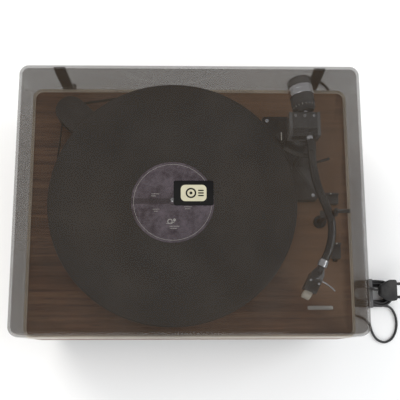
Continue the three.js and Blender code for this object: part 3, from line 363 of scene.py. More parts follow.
def group(name, inputs, outputs, kind="ShaderNodeTree"):
    """A node group: its tree, its inputs with their values, and its outputs."""
    tree = bpy.data.node_groups.new(name, kind)
    for way, sockets in (("INPUT", inputs), ("OUTPUT", outputs)):
        for label, socket_kind, *value in sockets:
            socket_type = "NodeSocket" + socket_kind
            socket = tree.interface.new_socket(name=label, in_out=way, socket_type=socket_type)
            if value:
                socket.default_value = value[0]
    return tree, tree.nodes.new("NodeGroupInput").outputs, tree.nodes.new("NodeGroupOutput").inputs


def use(tree, shared, *inputs):
    return put(tree, "ShaderNodeGroup", *inputs, node_tree=shared).outputs


def object_place(tree):
    return tree.nodes.new("ShaderNodeTexCoord").outputs["Object"]


def vector(tree, operation, a, b=(0, 0, 0)):
    return put(tree, "ShaderNodeVectorMath", (0, a), (1, b), operation=operation).outputs[0]


def parts(tree, value):
    """A vector's X, Y and Z outputs."""
    return put(tree, "ShaderNodeSeparateXYZ", ("Vector", value)).outputs


def made_of(tree, **values):
    """A vector from the X, Y and Z that are given."""
    return put(tree, "ShaderNodeCombineXYZ", *values.items()).outputs[0]


def facing(tree):
    """The way the surface points."""
    return tree.nodes.new("ShaderNodeNewGeometry").outputs["Normal"]


def dent(tree, shader, height, distance, strength):
    """A bump of the height, whose node it returns."""
    sizes = {"Height": height, "Distance": distance, "Strength": strength}
    bump = put(tree, "ShaderNodeBump", *sizes.items())
    tree.links.new(bump.outputs["Normal"], shader.inputs["Normal"])
    return bump


def unevenly(tree, factor, color, darker, lighter):
    """The colour, between a darker and a lighter one of its kind."""
    shades = [tuple(min(1.0, times * v) for v in color) + (1,) for times in (darker, lighter)]
    return mixed(tree, factor, *shades)


print("node helpers ready")

# %% [markdown]
# Moulded plastic is never mirror smooth: the mould leaves a fine orange-peel, and handling
# leaves broad, faintly shinier patches. One group gives both, with sizes as inputs.

# %% Fine texture group
fine, given, out = group(
    "fine_texture",
    [("Texture size", "Float", 0.0006), ("Roughness", "Float", 0.4), ("Patchiness", "Float", 0.08)],
    [("Height", "Float"), ("Roughness", "Float")],
)
place = object_place(fine)
frequency = calc(fine, "DIVIDE", 1.0, given["Texture size"])
fine.links.new(noise(fine, place, frequency, 2), out["Height"])
patches = calc(fine, "SUBTRACT", noise(fine, place, 42, 4), 0.5)
swing = calc(fine, "MULTIPLY", patches, given["Patchiness"])
fine.links.new(calc(fine, "MULTIPLY_ADD", swing, 2.0, given["Roughness"]), out["Roughness"])

# %% [markdown]
# Dust lies on upward faces in soft drifts with a few brighter specks. The upward mask is the
# face's own direction, so a steep wall stays clean.

# %% Dust group
dust, given, out = group(
    "dust",
    [
        ("Color", "Color", (0.5, 0.5, 0.5, 1)),
        ("Dust color", "Color", (0.42, 0.39, 0.35, 1)),
        ("Amount", "Float", 0.1),
    ],
    [("Color", "Color"), ("Mask", "Float")],
)
place = object_place(dust)
up = parts(dust, facing(dust))["Z"]
drift = between(dust, noise(dust, place, 16, 5, 0.65), 0.4, 0.75)
specks = between(dust, noise(dust, place, 900, 1), 0.72, 0.8)
lying = calc(dust, "MULTIPLY", between(dust, up, 0.5, 1.0), given["Amount"])
mask = calc(dust, "MULTIPLY", lying, calc(dust, "ADD", drift, specks))
dust.links.new(mask, out["Mask"])
dust.links.new(mixed(dust, mask, given["Color"], given["Dust color"]), out["Color"])

# %% [markdown]
# Raised edges lose their colour first. Cycles knows how sharply a surface bulges, and a little
# noise breaks the worn line up.

# %% Edge wear group
wear, given, out = group(
    "edge_wear",
    [
        ("Color", "Color", (0.5, 0.5, 0.5, 1)),
        ("Worn color", "Color", (0.7, 0.7, 0.7, 1)),
        ("Amount", "Float", 0.5),
    ],
    [("Color", "Color"), ("Mask", "Float")],
)
bulge = wear.nodes.new("ShaderNodeNewGeometry").outputs["Pointiness"]
uneven = noise(wear, object_place(wear), 160, 4, 0.6)
edge = between(wear, calc(wear, "MULTIPLY_ADD", uneven, 0.06, bulge), 0.55, 0.62)
mask = calc(wear, "MULTIPLY", edge, given["Amount"])
wear.links.new(mask, out["Mask"])
wear.links.new(mixed(wear, mask, given["Color"], given["Worn color"]), out["Color"])

# %% [markdown]
# Turned metal and pressed vinyl both carry rings. The group measures the distance from an
# upright axis and makes waves of it; noise along the radius makes some rings stronger.

# %% Rings group
rings, given, out = group(
    "rings",
    [("Axis", "Vector", (0, 0, 0)), ("Spacing", "Float", 0.001), ("Unevenness", "Float", 0.5)],
    [("Height", "Float"), ("Radius", "Float")],
)
offset = vector(rings, "SUBTRACT", object_place(rings), given["Axis"])
flat = vector(rings, "MULTIPLY", offset, (1, 1, 0))
radius = put(rings, "ShaderNodeVectorMath", (0, flat), operation="LENGTH").outputs["Value"]
turns = calc(rings, "DIVIDE", radius, given["Spacing"])
wave = calc(rings, "SINE", calc(rings, "MULTIPLY", turns, 2 * math.pi))
along = made_of(rings, X=calc(rings, "MULTIPLY", radius, 900))
strength = calc(rings, "MULTIPLY", noise(rings, along, 1.0, 2), given["Unevenness"])
rings.links.new(calc(rings, "MULTIPLY_ADD", wave, 0.5, strength), out["Height"])
rings.links.new(radius, out["Radius"])
print("shared groups:", [g.name for g in bpy.data.node_groups])


# %% [markdown]
# A plastic, rubber or metal finish is now one call: a colour, a roughness, how deep the fine
# texture is, and how much dust and wear it carries. Walnut, vinyl, label and acrylic get their
# own cells.


# %% Moulded and metal finishes
WORN_GREY = (0.3, 0.3, 0.3, 1)


def finish(
    name, color, roughness, texture=0.0006, depth=0.00003, dusty=0.1, worn=0.0,
    metal=0.0, coat=0.0,
):  # fmt: skip
    made, tree, shader = new_material(name, Metallic=metal, Coat_Weight=coat)
    sizes = {"Texture size": texture, "Roughness": roughness, "Patchiness": 0.1}
    grained = use(tree, fine, *sizes.items())
    uneven = unevenly(tree, noise(tree, object_place(tree), 70, 3), color, 0.82, 1.18)
    worn_out = use(tree, wear, ("Color", uneven), ("Worn color", WORN_GREY), ("Amount", worn))
    dusted = use(tree, dust, ("Color", worn_out["Color"]), ("Amount", dusty))
    tree.links.new(dusted["Color"], shader.inputs["Base Color"])
    rough = calc(tree, "MULTIPLY_ADD", dusted["Mask"], 0.4, grained["Roughness"])
    tree.links.new(rough, shader.inputs["Roughness"])
    dent(tree, shader, grained["Height"], depth, 1.0)
    return made


black_plastic = finish("satin_black_plastic", (0.022, 0.021, 0.022), 0.42, worn=0.25)
tray_plastic = finish(
    "pebbled_black_plastic", (0.02, 0.02, 0.021), 0.6, texture=0.0009, depth=0.00009
)
gloss_black = finish(
    "gloss_black_paint", (0.014, 0.014, 0.015), 0.2, texture=0.0015, depth=0.00001, worn=0.4, coat=0.4
)
rubber = finish("black_rubber", (0.02, 0.02, 0.02), 0.82, texture=0.0007, depth=0.00004, dusty=0.16)
lead_jacket = finish("lead_jacket", (0.016, 0.016, 0.017), 0.5, texture=0.0008, dusty=0.05)
chrome = finish(
    "chrome_plate", (0.78, 0.78, 0.8), 0.14, texture=0.002, depth=0.000006, metal=1.0, dusty=0.04
)
cast_metal = finish("cast_aluminium", (0.5, 0.5, 0.51), 0.45, texture=0.0008, metal=1.0, dusty=0.05)
cream = finish("cream_plastic", (0.78, 0.73, 0.62), 0.4, dusty=0.05)
white_paint = finish("white_marking", (0.75, 0.74, 0.7), 0.6, dusty=0.0)
red_ring = finish("red_insulator", (0.4, 0.02, 0.02), 0.45)
circuit_green = finish("circuit_board", (0.03, 0.16, 0.07), 0.35)
copper = finish("copper_winding", (0.5, 0.2, 0.08), 0.35, metal=1.0, dusty=0.0)
print(len(bpy.data.materials), "materials so far")

# %% [markdown]
# ## Walnut
# The plinth is wrapped in walnut veneer whose grain runs from left to right. Three noises do
# it, all stretched along the grain: broad light and dark bands, thin dark streaks, and short
# pores that also dent the surface. The two ends have strips of their own, so there X and Y swap.

# %% Walnut veneer
walnut, tree, shader = new_material("walnut_veneer")
on_end = calc(tree, "GREATER_THAN", calc(tree, "ABSOLUTE", parts(tree, facing(tree))["X"]), 0.75)
spot = parts(tree, object_place(tree))
swap = calc(tree, "MULTIPLY", on_end, calc(tree, "SUBTRACT", spot["Y"], spot["X"]))
grain_x, grain_y = calc(tree, "ADD", spot["X"], swap), calc(tree, "SUBTRACT", spot["Y"], swap)
place = made_of(tree, X=grain_x, Y=grain_y, Z=spot["Z"])


def stretched(along, across, up):
    """Object coordinates stretched so that a noise runs along the face."""
    return vector(tree, "MULTIPLY", place, (along, across, up))


bands = noise(tree, stretched(2.2, 30, 30), 1, 5, 0.6)
streaks = noise(tree, vector(tree, "ADD", stretched(5, 240, 240), bands), 1, 4, 0.65)
pores = noise(tree, stretched(60, 1900, 1900), 1, 2, 0.5)
shade = calc(tree, "MULTIPLY_ADD", streaks, 0.62, calc(tree, "MULTIPLY", bands, 0.45))
ramp = put(tree, "ShaderNodeValToRGB", ("Fac", shade))
stops = ramp.color_ramp.elements
stops[0].position, stops[0].color = 0.33, (0.050, 0.021, 0.012, 1)
stops[1].position, stops[1].color = 0.74, (0.300, 0.160, 0.090, 1)
for position, color in ((0.47, (0.120, 0.053, 0.029, 1)), (0.6, (0.205, 0.100, 0.056, 1))):
    stops.new(position).color = color
pore_mask = between(tree, pores, 0.56, 0.68, 0, 0.75)
veneer = mixed(tree, pore_mask, ramp.outputs["Color"], (0.022, 0.010, 0.007, 1))
aged = use(tree, wear, ("Color", veneer), ("Worn color", (0.42, 0.25, 0.15, 1)), ("Amount", 0.5))
dusted = use(tree, dust, ("Color", aged["Color"]), ("Amount", 0.1))
tree.links.new(dusted["Color"], shader.inputs["Base Color"])
tree.links.new(between(tree, pores, 0.3, 0.7, 0.36, 0.55), shader.inputs["Roughness"])
dent(tree, shader, pores, 0.00008, 0.8).invert = True

# %% [markdown]
# ## Smoked acrylic
# The cover is a thin brown-grey sheet. Each of its surfaces stops a little over a quarter of the
# light, and upright ones more, so alpha does the tinting; full refraction would only add noise to
# a sheet this thin. The cut rim gathers light and looks pale. That light is painted into a finish
# of its own, as a pale colour and a faint glow.


# %% Smoked cover and its cut rim
WALL_EXTRA = 0.2


def acrylic(name, color, alpha):
    """A clear finish whose alpha is the given one on level faces."""
    made, tree, shader = new_material(name)
    place = object_place(tree)
    haze = between(tree, noise(tree, place, 9, 5, 0.6), 0.35, 0.7)
    hazed = unevenly(tree, haze, color, 0.85, 1.25)
    dusted = use(tree, dust, ("Color", hazed), ("Amount", 0.05))
    tree.links.new(dusted["Color"], shader.inputs["Base Color"])
    level = calc(tree, "ABSOLUTE", parts(tree, facing(tree))["Z"])
    tint = between(tree, level, 0.15, 0.95, alpha + WALL_EXTRA, alpha)
    opaque = calc(tree, "MULTIPLY_ADD", dusted["Mask"], 0.5, tint)
    tree.links.new(opaque, shader.inputs["Alpha"])
    scuffs = noise(tree, vector(tree, "MULTIPLY", place, (30, 900, 300)), 1, 3)
    tree.links.new(between(tree, scuffs, 0.3, 0.8, 0.02, 0.08), shader.inputs["Roughness"])
    dent(tree, shader, noise(tree, place, 14, 1), 0.0004, 0.25)
    made.surface_render_method = "BLENDED"
    return made


smoked = acrylic("smoked_acrylic", (0.026, 0.016, 0.007), 0.28)
# Painted light: the rim's pale colour and faint emission stand in for the light that the cut edge
# gathers.
rim_painted_glow = acrylic("cut_acrylic_rim_painted_glow", (0.80, 0.74, 0.64), 0.83)
rim_glow_shader = rim_painted_glow.node_tree.nodes["Principled BSDF"]
set_inputs(rim_glow_shader, Emission_Color=(0.72, 0.64, 0.52, 1), Emission_Strength=0.12)

# %% [markdown]
# ## Vinyl
# A record shows almost no texture at this distance, only soft fans of light that turn with the
# lamps. They come from thousands of grooves at right angles to the radius, so the finish
# stretches its highlights across the rings, with shallow ring waves on top.

# %% Grooved vinyl
vinyl, tree, shader = new_material("grooved_vinyl", Anisotropic=0.75, Specular_IOR_Level=0.6)
tangent = put(tree, "ShaderNodeTangent", direction_type="RADIAL", axis="Z")
tree.links.new(tangent.outputs["Tangent"], shader.inputs["Tangent"])
grooves = use(tree, rings, ("Axis", SPINDLE), ("Spacing", 0.0014), ("Unevenness", 1.4))
disc = between(tree, grooves["Height"], -0.5, 1.4)
tinted = mixed(tree, disc, (0.0075, 0.0075, 0.008, 1), (0.017, 0.0165, 0.0165, 1))
dusted = use(tree, dust, ("Color", tinted), ("Amount", 0.03))
tree.links.new(dusted["Color"], shader.inputs["Base Color"])
tree.links.new(between(tree, disc, 0, 1, 0.24, 0.42), shader.inputs["Roughness"])
dent(tree, shader, grooves["Height"], 0.00002, 0.25)

# %% [markdown]
# ## Label
# The label is printed paper in a clouded purple-grey, with a darker band across its middle.

# %% Clouded label paper
label_paper, tree, shader = new_material("label_paper")
place = object_place(tree)
clouds = noise(tree, place, 55, 6, 0.7)
blotches = noise(tree, place, 190, 4, 0.6)
printed = mixed(
    tree,
    between(tree, calc(tree, "MULTIPLY_ADD", blotches, 0.35, clouds), 0.5, 0.85),
    (0.050, 0.034, 0.055, 1),
    (0.250, 0.205, 0.255, 1),
)
from_middle = calc(tree, "SUBTRACT", parts(tree, place)["Y"], SPINDLE.y + 0.001)
band = calc(tree, "LESS_THAN", calc(tree, "ABSOLUTE", from_middle), 0.0035)
banded = mixed(tree, calc(tree, "MULTIPLY", band, 0.6), printed, (0.02, 0.016, 0.024, 1))
tree.links.new(banded, shader.inputs["Base Color"])
tree.links.new(between(tree, blotches, 0.3, 0.7, 0.45, 0.62), shader.inputs["Roughness"])
dent(tree, shader, noise(tree, place, 2400, 2), 0.00002, 0.6)

# %% [markdown]
# ## Turned aluminium
# The platter and the bearing come off a lathe, which leaves fine rings about the spindle.

# %% Turned aluminium
turned_metal, tree, shader = new_material("turned_aluminium", Metallic=1.0)
marks = use(tree, rings, ("Axis", SPINDLE), ("Spacing", 0.0007), ("Unevenness", 0.9))
height = between(tree, marks["Height"], -0.5, 1.2)
shade = mixed(tree, height, (0.42, 0.42, 0.43, 1), (0.62, 0.62, 0.64, 1))
dusted = use(tree, dust, ("Color", shade), ("Amount", 0.05))
tree.links.new(dusted["Color"], shader.inputs["Base Color"])
tree.links.new(between(tree, marks["Height"], -0.5, 1.2, 0.26, 0.4), shader.inputs["Roughness"])
dent(tree, shader, marks["Height"], 0.00002, 0.6)
print(len(bpy.data.materials), "materials")

# %% [markdown]
# ## Ways to make a shape
# Three helpers make most pieces. `turned` spins a profile round an axis, as a lathe does.
# `softened` takes a plain solid from the frame and rounds its edges, because no moulded or
# machined edge is razor sharp and the rounding is what catches the light. `swept` runs a round
# section along a path.


# %% Turned, softened and swept meshes
def mm_matrix(x=0, y=0, z=0, turn=None):
    """From millimetres about a centre to the frame, turned first where asked."""
    return Matrix.Translation(at(x, y, z)) @ (turn or Matrix()) @ Matrix.Scale(MM, 4)


def turned(name, profile, sides, matrix):
    """The [radius, height] profile spun round Z; it may start and end on the axis."""
    points, faces = [], []
    for r, z in profile:
        for i in range(sides):
            a = 2 * math.pi * i / sides
            points.append(matrix @ Vector((r * math.cos(a), r * math.sin(a), z)))
    for j in range(len(profile) - 1):
        for i in range(sides):
            a, b = j * sides + i, j * sides + (i + 1) % sides
            ring = [a, b, b + sides, a + sides]
            if profile[j][0] < 1e-6:
                ring = [a, b + sides, a + sides]
            elif profile[j + 1][0] < 1e-6:
                ring = [a, b, a + sides]
            faces.append(ring)
    return mesh_of(name, points, faces)


def settled(mesh, kind, settings):
    """The mesh with a modifier of the kind applied."""
    obj = in_scene("work", mesh)
    modifier = obj.modifiers.new(kind, kind)
    for key, value in settings.items():
        if hasattr(modifier, key):
            setattr(modifier, key, value)
        else:
            modifier[key] = value
    bpy.context.view_layer.update()
    graph = bpy.context.evaluated_depsgraph_get()
    final = obj.evaluated_get(graph)
    made = bpy.data.meshes.new_from_object(final, preserve_all_data_layers=True, depsgraph=graph)
    made.name = mesh.name
    bpy.data.objects.remove(obj)
    return made


def cad_mesh(node):
    """A merged copy of a frame node's mesh, with flat faces whole again."""
    mesh = NODES[node].data.copy()
    mesh.materials.clear()
    bm = bmesh.new()
    bm.from_mesh(mesh)
    bmesh.ops.remove_doubles(bm, verts=bm.verts, dist=2e-6)
    bmesh.ops.dissolve_limit(bm, angle_limit=math.radians(0.5), verts=bm.verts, edges=bm.edges)
    for edge in bm.edges:
        edge.smooth = True
    bm.to_mesh(mesh)
    bm.free()
    mesh.name = node + "_rounded"
    return mesh


def rounded(mesh, width, segments=2, angle=32):
    """Edges sharper than the angle get a round of the width, in millimetres."""
    settings = {
        "width": width * MM,
        "segments": segments,
        "limit_method": "ANGLE",
        "angle_limit": math.radians(angle),
        "use_clamp_overlap": True,
    }
    return settled(mesh, "BEVEL", settings)


def painted(mesh, index, matrix=None):
    """The mesh in its place, all its faces in one of the piece's materials."""
    mesh.transform(matrix or Matrix())
    mesh.materials.clear()
    mesh.polygons.foreach_set("material_index", [index] * len(mesh.polygons))
    return mesh


def softened(node, width, slot, material, segments=2, angle=32, sharp=38, extra=(), more=()):
    """A frame node with rounded edges, plus any extra meshes already painted 1, 2 and so on."""
    mesh = rounded(cad_mesh(node), width, segments, angle)
    if extra:
        mesh = joined(node + "_detailed", mesh, *extra)
    return placed(node + "_detailed", mesh, node, slot, material, *more, sharp=sharp)


def swept(name, line, radius, sides=16, matrix=None, taper=1.0):
    """A round bar along a line of points, its ends closed; taper scales the far end."""
    matrix = matrix or Matrix()
    line = [Vector(p) for p in line]
    points, faces = [], []
    normal = None
    for i, p in enumerate(line):
        ahead = (line[min(i + 1, len(line) - 1)] - line[max(i - 1, 0)]).normalized()
        if normal is None:
            normal = ahead.orthogonal().normalized()
        normal = (normal - ahead * normal.dot(ahead)).normalized()
        side = ahead.cross(normal)
        r = radius * (1 + (taper - 1) * i / (len(line) - 1))
        for k in range(sides):
            a = 2 * math.pi * k / sides
            points.append(matrix @ (p + r * (math.cos(a) * normal + math.sin(a) * side)))
    for i in range(len(line) - 1):
        for k in range(sides):
            a, b = i * sides + k, i * sides + (k + 1) % sides
            faces.append([a, b, b + sides, a + sides])
    faces.append(list(range(sides))[::-1])
    last = (len(line) - 1) * sides
    faces.append([last + k for k in range(sides)])
    return mesh_of(name, points, faces)


def lathe(node, profile, sides, matrix, slot, *materials, extra=(), name=None):
    """A turned piece in place of its node, plus any extra meshes already painted 1, 2 and so on."""
    mesh = turned(node, profile, sides, matrix)
    if extra:
        mesh = joined(node, mesh, *extra)
    return placed(name or node + "_turned", mesh, node, slot, *materials)


def upright(x, y, z=0.0):
    """A matrix for millimetres about a point of the frame."""
    return Matrix.Translation((x, y, z)) @ Matrix.Scale(MM, 4)


def shifted(matrix, x, y, z):
    return matrix @ Matrix.Translation((x, y, z))


print("shape helpers ready")

# %% [markdown]
# ## Things that repeat
# Knurls, ribs, tick marks and screws repeat by a rule, so Geometry Nodes place them. Each tree
# has named inputs for its sizes, turns its copies into real faces and gives them a material.


# %% Geometry Nodes trees
def geometry_tree(name, inputs):
    ends = ("Geometry", "Geometry"), ("Material", "Material")
    return group(name, [ends[0], *inputs, ends[1]], [ends[0]], "GeometryNodeTree")


def on_points(tree, points, shape, *inputs):
    """The shape's first output at every one of the points."""
    shown = ("Points", points), ("Instance", shape.outputs[0])
    return put(tree, "GeometryNodeInstanceOnPoints", *shown, *inputs)


def end_tree(tree, given, last, out):
    """Makes the last node's copies real faces in the tree's material, which is its output."""
    real = put(tree, "GeometryNodeRealizeInstances", ("Geometry", last.outputs[0])).outputs[0]
    dressed = put(
        tree, "GeometryNodeSetMaterial", ("Geometry", real), ("Material", given["Material"])
    )
    tree.links.new(dressed.outputs[0], out["Geometry"])


def grown(name, tree, base=None, **values):
    """The tree's result on a base mesh, as a plain mesh."""
    identifiers = {
        item.name: item.identifier
        for item in tree.interface.items_tree
        if item.item_type == "SOCKET" and item.in_out == "INPUT"
    }
    mesh = base or bpy.data.meshes.new(name)
    settings = {"node_group": tree}
    settings.update({identifiers[k.replace("_", " ")]: v for k, v in values.items()})
    return settled(mesh, "NODES", settings)


# Blocks standing in a ring round Z: knurls, ribs and tick marks.
ring_tree, given, out = geometry_tree(
    "blocks in a ring",
    [("Count", "Int", 24), ("Radius", "Float", 10.0), ("Size", "Vector", (1, 1, 1))],
)
sizes = {"Vertices": given["Count"], "Radius": given["Radius"]}
circle = put(ring_tree, "GeometryNodeMeshCircle", *sizes.items())
one = put(ring_tree, "GeometryNodeMeshCube", ("Size", given["Size"]))
step = calc(ring_tree, "DIVIDE", 2 * math.pi, given["Count"])
index = ring_tree.nodes.new("GeometryNodeInputIndex").outputs[0]
turn = made_of(ring_tree, Z=calc(ring_tree, "MULTIPLY", index, step))
copies = on_points(ring_tree, circle.outputs[0], one, ("Rotation", turn))
end_tree(ring_tree, given, copies, out)

# Blocks in a row along Y: the grips of the sliders.
row_tree, given, out = geometry_tree(
    "blocks in a row",
    [("Count", "Int", 5), ("Pitch", "Float", 1.0), ("Size", "Vector", (1, 1, 1))],
)
gaps = calc(row_tree, "SUBTRACT", given["Count"], 1.0)
length = calc(row_tree, "MULTIPLY", gaps, given["Pitch"])
row = put(
    row_tree,
    "GeometryNodeMeshLine",
    ("Count", given["Count"]),
    ("Start Location", made_of(row_tree, Y=calc(row_tree, "MULTIPLY", length, -0.5))),
    ("Offset", made_of(row_tree, Y=given["Pitch"])),
)
one = put(row_tree, "GeometryNodeMeshCube", ("Size", given["Size"]))
end_tree(row_tree, given, on_points(row_tree, row.outputs[0], one), out)

# Cross-head screws on the base mesh's points, facing up.
screw_tree, given, out = geometry_tree(
    "screw heads", [("Radius", "Float", 2.0), ("Height", "Float", 1.0)]
)
sizes = {"Vertices": 24, "Radius": given["Radius"], "Depth": given["Height"]}
head = put(screw_tree, "GeometryNodeMeshCylinder", *sizes.items()).outputs[0]
lift = made_of(screw_tree, Z=calc(screw_tree, "MULTIPLY", given["Height"], 0.62))
recessed = put(screw_tree, "GeometryNodeMeshBoolean", ("Mesh 1", head), operation="DIFFERENCE")
for x_part, y_part in ((1.3, 0.3), (0.3, 1.3)):
    size = made_of(
        screw_tree,
        X=calc(screw_tree, "MULTIPLY", given["Radius"], x_part),
        Y=calc(screw_tree, "MULTIPLY", given["Radius"], y_part),
        Z=given["Height"],
    )
    bar = put(screw_tree, "GeometryNodeMeshCube", ("Size", size)).outputs[0]
    raised = put(screw_tree, "GeometryNodeTransform", ("Geometry", bar), ("Translation", lift))
    screw_tree.links.new(raised.outputs[0], recessed.inputs["Mesh 2"])
end_tree(screw_tree, given, on_points(screw_tree, given["Geometry"], recessed), out)


def screws(places, radius, height, matrix):
    """Screw heads at [x, y, z] places, in the matrix's millimetres."""
    base = bpy.data.meshes.new("screws")
    base.from_pydata(places, [], [])
    mesh = grown("screws", screw_tree, base, Radius=radius, Height=height, Material=chrome)
    return painted(mesh, 1, matrix)


def ring_of(count, radius, size, matrix, index=1):
    mesh = grown("ring", ring_tree, Count=count, Radius=radius, Size=size, Material=chrome)
    return painted(mesh, index, matrix)


def row_of(count, pitch, size, matrix):
    mesh = grown("row", row_tree, Count=count, Pitch=pitch, Size=size, Material=chrome)
    return painted(mesh, 1, matrix)


print("a ring of 12 has", len(ring_of(12, 5.0, (1, 1, 1), Matrix()).polygons), "faces")

# %% [markdown]
# ## Plinth, tray and feet
# A veneered wood top sits on a black moulded tray with four rubber feet. The veneer is folded
# over a small round along every edge, so the wood's edges are softened more than the tray's.

# %% Plinth and tray
plinth = softened("wood_plinth", 1.4, "walnut", walnut, segments=4)
tray = softened("base_tray", 1.5, "black_plastic", tray_plastic, segments=3)
print("plinth of", len(plinth.data.polygons), "faces, tray of", len(tray.data.polygons))

# %% [markdown]
# Each foot is turned: a waist, a wide pad with a groove round it, and a ring cut in its underside.
# Small ribs round the pad are its grip.

# %% Feet
foot_profile = [
    (0, 0), (12, 0), (12.6, 0.7), (14.6, 0.7), (15.2, 0), (16.6, 0), (17.6, 0.5), (18, 1.5),
    (18, 3), (17.4, 3.4), (17.4, 4), (18, 4.4), (18, 7), (17.2, 8.1), (14.6, 9.3),
    (13.9, 10), (13.9, 14), (0, 14),
]  # fmt: skip
for node in ("foot_front_left", "foot_front_right", "foot_rear_left", "foot_rear_right"):
    centre = middle(node)
    stand = upright(centre.x, centre.y)
    ribs = ring_of(40, 17.45, (0.9, 1.2, 2.2), shifted(stand, 0, 0, 5.7))
    lathe(node, foot_profile, 64, stand, "rubber", rubber, rubber, extra=[ribs])
print("four feet")

# %% [markdown]
# ## Rear panel
# The back has two phono sockets with coloured rings, a ground screw, a rocker switch and the
# lead's sleeve. Everything here points backwards, so one matrix turns upright profiles that way.

# %% Panel, sockets, screw and switch
panel_y = high("rear_panel").y
face_y = (panel_y - MIDDLE_Y) / MM
socket_z = middle("rear_panel").z / MM
backwards = Matrix.Rotation(-math.pi / 2, 4, "X")


def behind(x):
    """A matrix that turns upright millimetres to point out of the panel's face at x."""
    return mm_matrix(x, face_y, socket_z, backwards)


PANEL_SCREWS_X, SOCKETS_X, GROUND_X, SLEEVE_X = (24, 160), (50, 64), 82, 150
panel_screws = [screws([(0, 0, 0.3)], 2.4, 0.9, behind(x)) for x in PANEL_SCREWS_X]
softened("rear_panel", 0.5, "black_plastic", tray_plastic, extra=panel_screws, more=[chrome])

socket_profile = [
    (0, -8), (4, -8), (4, 0.1), (5.6, 0.1), (6, 0.5), (6, 1.2), (5.6, 1.6), (4.2, 1.7), (4.2, 8.6),
    (3.9, 9), (3.3, 9), (3.3, 9), (3.3, 8.6), (1.7, 8.6), (1.7, 1), (0, 1),
]  # fmt: skip
INSULATOR_RADIUS = 3.32
for side, x, ring_finish in zip(("left", "right"), SOCKETS_X, (cream, red_ring)):
    node = "rca_socket_" + side
    made = lathe(node, socket_profile, 40, behind(x), "chrome", chrome, ring_finish)
    axis = at(x, 0, socket_z)
    for polygon in made.data.polygons:
        away = math.hypot(polygon.center.x - axis.x, polygon.center.z - axis.z)
        if away < INSULATOR_RADIUS * MM and polygon.center.y > panel_y + 0.5 * MM:
            polygon.material_index = 1

screw_profile = [
    (0, -6), (1.8, -6), (1.8, 0.3), (3.9, 0.3), (4.3, 0.7), (4.3, 5.8), (3.9, 6.4), (3.2, 6.8), (0, 6.8),
]  # fmt: skip
knurl = ring_of(28, 4.22, (0.5, 0.45, 4.6), shifted(behind(GROUND_X), 0, 0, 3.3))
lathe("ground_screw", screw_profile, 40, behind(GROUND_X), "chrome", chrome, chrome, extra=[knurl])
softened("power_switch", 0.7, "black_plastic", black_plastic, segments=3)
print("rear panel dressed")

# %% [markdown]
# ## Sleeve, tie and plug
# The lead's sleeve is a tapered rubber piece with rings cut in it, so that it bends evenly. The
# hank is held by a flat strap. The plug has a waisted grip with ribs and two round pins, each
# half sleeved.

# %% Sleeve and tie
sleeve_profile = [
    (0, -7), (5, -7), (5, 0.1), (6.2, 0.1), (6.5, 0.5), (6.5, 2.6), (6.1, 3), (4.7, 4.4),
]  # fmt: skip
for i in range(6):
    z = 6 + 2.7 * i
    r = 4.55 - 0.092 * (z - 4.5)
    sleeve_profile += [(r, z), (r - 0.7, z + 0.35), (r - 0.75, z + 1.2), (r - 0.14, z + 1.55)]
sleeve_profile += [(2.85, 23.2), (2.4, 24), (0, 24)]
gland = lathe(
    "cord_gland", sleeve_profile, 40, behind(SLEEVE_X), "rubber", rubber, name="lead_sleeve"
)
tie = softened("cord_tie", 0.35, "black_plastic", black_plastic)

# %% Plug and pins
plug_low, plug_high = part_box("plug_body")
plug_centre = (plug_low + plug_high) / 2
grip_ribs = []
for side in (-1, 1):
    for i in range(4):
        x = plug_low.x + (4 + 2.8 * i) * MM
        y = plug_centre.y + side * (6.4 + 1.9 * i) * MM
        bar = [(x, y, plug_centre.z + step * MM) for step in (-4.8, 0, 4.8)]
        grip_ribs.append(painted(swept("grip", bar, 0.9 * MM, 12), 1))
plug = softened(
    "plug_body", 2.6, "rubber", rubber, segments=5, sharp=60, extra=grip_ribs, more=[rubber]
)
pin_profile = [
    (0, 0), (2, 0), (2, 8.8), (1.92, 9), (2, 9.2), (2, 17.4), (1.7, 18.5), (1.1, 19), (0, 19),
]  # fmt: skip
for node in ("plug_pin_front", "plug_pin_rear"):
    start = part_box(node)[0]
    lying = upright(start.x, middle(node).y, middle(node).z) @ Matrix.Rotation(math.pi / 2, 4, "Y")
    pin = lathe(node, pin_profile, 32, lying, "chrome", chrome, rubber)
    for polygon in pin.data.polygons:
        polygon.material_index = int(polygon.center.x < start.x + 9 * MM)

# %% The lead's jacket, and what is on it
lead_curve.materials.append(lead_jacket)
print("lead dressed:", gland.name, tie.name, plug.name)

# %% [markdown]
# ## Platter and record
# Platter, mat and record are all turned about the spindle. The platter is a cast dish with a
# stepped rim; the mat has raised rings; the record is thicker at its rim and under its label.

# %% Bearing, spindle, platter and mat
spin = upright(SPINDLE.x, SPINDLE.y)
deck = TOP / MM
base, plate_top = levels("platter")
hub_top = base + 10.5
record_low, record_top = levels("vinyl_record")
bottom, top = levels("bearing_housing")
bearing_profile = [
    (0, bottom), (10.6, bottom), (11, bottom + 0.4), (11, deck + 0.1), (18.7, deck + 0.1),
    (19, deck + 0.4), (19, top - 0.3), (18.7, top), (6.2, top), (6.2, bottom + 3.9), (0, bottom + 3.9),
]  # fmt: skip
lathe("bearing_housing", bearing_profile, 64, spin, "cast_metal", turned_metal, name="bearing_turned")

bottom = levels("spindle")[0]
spindle_profile = [
    (0, bottom), (5.6, bottom), (6, bottom + 0.4), (6, hub_top - 2), (3.55, hub_top),
    (3.55, record_top + 6.6), (3.45, record_top + 7.2), (3.1, record_top + 8.2),
    (2.5, record_top + 9.2), (1.6, record_top + 10), (0.8, record_top + 10.35), (0, record_top + 10.4),
]  # fmt: skip
lathe("spindle", spindle_profile, 48, spin, "chrome", chrome)

